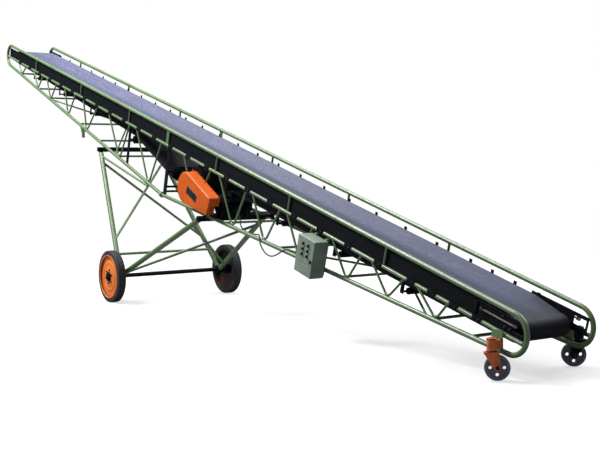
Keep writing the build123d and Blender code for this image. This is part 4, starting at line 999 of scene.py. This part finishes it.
class CONVEYOR_OT_stage(Step, bpy.types.Operator):
    """Set up the pale floor, the soft light and the camera."""
    bl_idname = "conveyor.stage"
    bl_label = "Set up the studio"

    CAMERA_PLACE = (11.003, -5.800, 1.530)
    CAMERA_RIGHT = (0.55328, 0.83293, -0.01034)
    CAMERA_FORWARD = (-0.83224, 0.55220, -0.04954)
    FLOOR_DROP = 0.001
    FLOOR_TONES = ((0.90, 0.90, 0.915), (0.95, 0.95, 0.955))
    FLOOR_BOUNCE = (0.20, 0.20, 0.21, 1.0)
    SKY_TINT = (0.97, 0.985, 1.0, 1.0)
    WHITE = (1.0, 1.0, 1.0, 1.0)
    AIM = (0.0, 0.0, 1.6)
    LAMPS = (
        # name, place, share of the key's power, size
        ("key", (-4.4, -6.0, 11.2), 1.0, 4.0),
        ("top", (-1.5, 1.5, 11.0), 0.45, 8.0),
        ("back", (4.0, 9.0, 6.0), 0.25, 6.0),
    )

    def dress_up(self, scene):
        studio = scene.conveyor_studio
        self.add_camera(studio)
        self.add_floor(studio)
        self.add_light(studio)
        scene.view_settings.view_transform = "Standard"

    def add_camera(self, studio):
        data = bpy.data.cameras.new("studio_camera")
        data.sensor_width = 36.0
        data.sensor_fit = "HORIZONTAL"
        data.lens = studio.lens
        data.clip_end = 200.0
        camera = bpy.data.objects.new("studio_camera", data)
        place = Vector(self.CAMERA_PLACE)
        right = Vector(self.CAMERA_RIGHT).normalized()
        forward = Vector(self.CAMERA_FORWARD).normalized()
        up = right.cross(forward).normalized()
        right = forward.cross(up).normalized()
        turn = Matrix((right, up, -forward)).transposed().to_4x4()
        camera.matrix_world = Matrix.Translation(place) @ turn
        bpy.context.scene.collection.objects.link(camera)
        bpy.context.scene.camera = camera

    def add_floor(self, studio):
        """Pale floor with a faint shadow, which turns plain white away from the machine."""
        mesh = bpy.data.meshes.new("floor")
        shape = bmesh.new()
        bmesh.ops.create_circle(shape, cap_ends=True, segments=96, radius=studio.floor_radius)
        shape.to_mesh(mesh)
        shape.free()
        floor = bpy.data.objects.new("floor", mesh)
        floor.location.z = -self.FLOOR_DROP
        bpy.context.scene.collection.objects.link(floor)
        make = Finish("floor", 0.9)
        tone = make.mix(make.span(make.noise(0.8, 4.0), 0.3, 0.7), *self.FLOOR_TONES)
        make.link(Base_Color=tone)
        white = make.add("Emission", {"Color": self.WHITE, "Strength": 1.0}).outputs[0]
        away = make.add("VectorMath", {0: make.place}, operation="LENGTH")
        fade = make.span(away.outputs["Value"], 5.5, 9.5, 0.62, 1.0)
        seen = make.add("MixShader", {0: fade, 1: make.shader.outputs[0], 2: white}).outputs[0]
        dull = make.add("BsdfDiffuse", {"Color": self.FLOOR_BOUNCE}).outputs[0]
        direct = make.add("LightPath").outputs["Is Camera Ray"]
        both = make.add("MixShader", {0: direct, 1: dull, 2: seen}).outputs[0]
        out = make.tree.nodes["Material Output"]
        make.tree.links.new(both, out.inputs["Surface"])
        mesh.materials.append(make.material)

    def add_light(self, studio):
        """Even light that is brighter from above, and soft lamps; the camera sees plain white."""
        world = bpy.data.worlds.new("studio")
        bpy.context.scene.world = world
        world.use_nodes = True
        world.node_tree.nodes.clear()
        make = Nodes(world.node_tree)
        rise = make.add("SeparateXYZ", {0: make.add("TexCoord").outputs["Generated"]})
        level = make.span(rise.outputs["Z"], -0.15, 0.9, 0.12 * studio.sky, 1.75 * studio.sky)
        lit = make.add("Background", {"Color": self.SKY_TINT, "Strength": level})
        shown = make.add("Background", {"Color": self.WHITE, "Strength": 1.0})
        either = make.add("MixShader", {0: make.add("LightPath").outputs["Is Camera Ray"],
                                        1: lit.outputs[0], 2: shown.outputs[0]})
        make.add("OutputWorld", {"Surface": either.outputs[0]})
        for name, place, share, size in self.LAMPS:
            data = bpy.data.lights.new(name, "AREA")
            data.energy = studio.key_power * share
            data.shape = "DISK"
            data.size = size
            lamp = bpy.data.objects.new(name, data)
            lamp.location = place
            aim = Vector(self.AIM) - Vector(place)
            lamp.rotation_euler = aim.to_track_quat("-Z", "Y").to_euler()
            bpy.context.scene.collection.objects.link(lamp)


class VIEW3D_PT_conveyor(bpy.types.Panel):
    """Panel of the conveyor's looks."""
    bl_label = "Belt conveyor"
    bl_idname = "VIEW3D_PT_conveyor"
    bl_space_type = "VIEW_3D"
    bl_region_type = "UI"
    bl_category = "Conveyor"

    def draw(self, context):
        layout = self.layout
        for name in GROUPS:
            group = getattr(context.scene, name)
            column = layout.column(align=True)
            for key in group.bl_rna.properties.keys():
                if key not in ("rna_type", "name"):
                    column.prop(group, key)
        for step in STEPS:
            layout.operator(step.bl_idname)


STEPS = (CONVEYOR_OT_stage, CONVEYOR_OT_paint, CONVEYOR_OT_tyres, CONVEYOR_OT_wheel_fittings,
         CONVEYOR_OT_guard_fittings, CONVEYOR_OT_motor_fittings, CONVEYOR_OT_cable,
         CONVEYOR_OT_box_fittings, CONVEYOR_OT_fasteners, CONVEYOR_OT_caster_fittings,
         CONVEYOR_OT_screws, CONVEYOR_OT_boards, CONVEYOR_OT_welds)
GROUPS = {"conveyor_paint": ConveyorPaint, "conveyor_tyres": ConveyorTyres,
          "conveyor_motor": ConveyorMotor, "conveyor_cable": ConveyorCable,
          "conveyor_studio": ConveyorStudio}
CLASSES = (*GROUPS.values(), *STEPS, VIEW3D_PT_conveyor)


def register():
    for item in CLASSES:
        bpy.utils.register_class(item)
    for name, group in GROUPS.items():
        setattr(bpy.types.Scene, name, PointerProperty(type=group))


def unregister():
    for name in GROUPS:
        delattr(bpy.types.Scene, name)
    for item in reversed(CLASSES):
        bpy.utils.unregister_class(item)


def main():
    """Register the add-on and make every piece in order."""
    register()
    for step in STEPS:
        group, name = step.bl_idname.split(".")
        getattr(getattr(bpy.ops, group), name)()


if __name__ == "__main__":
    main()
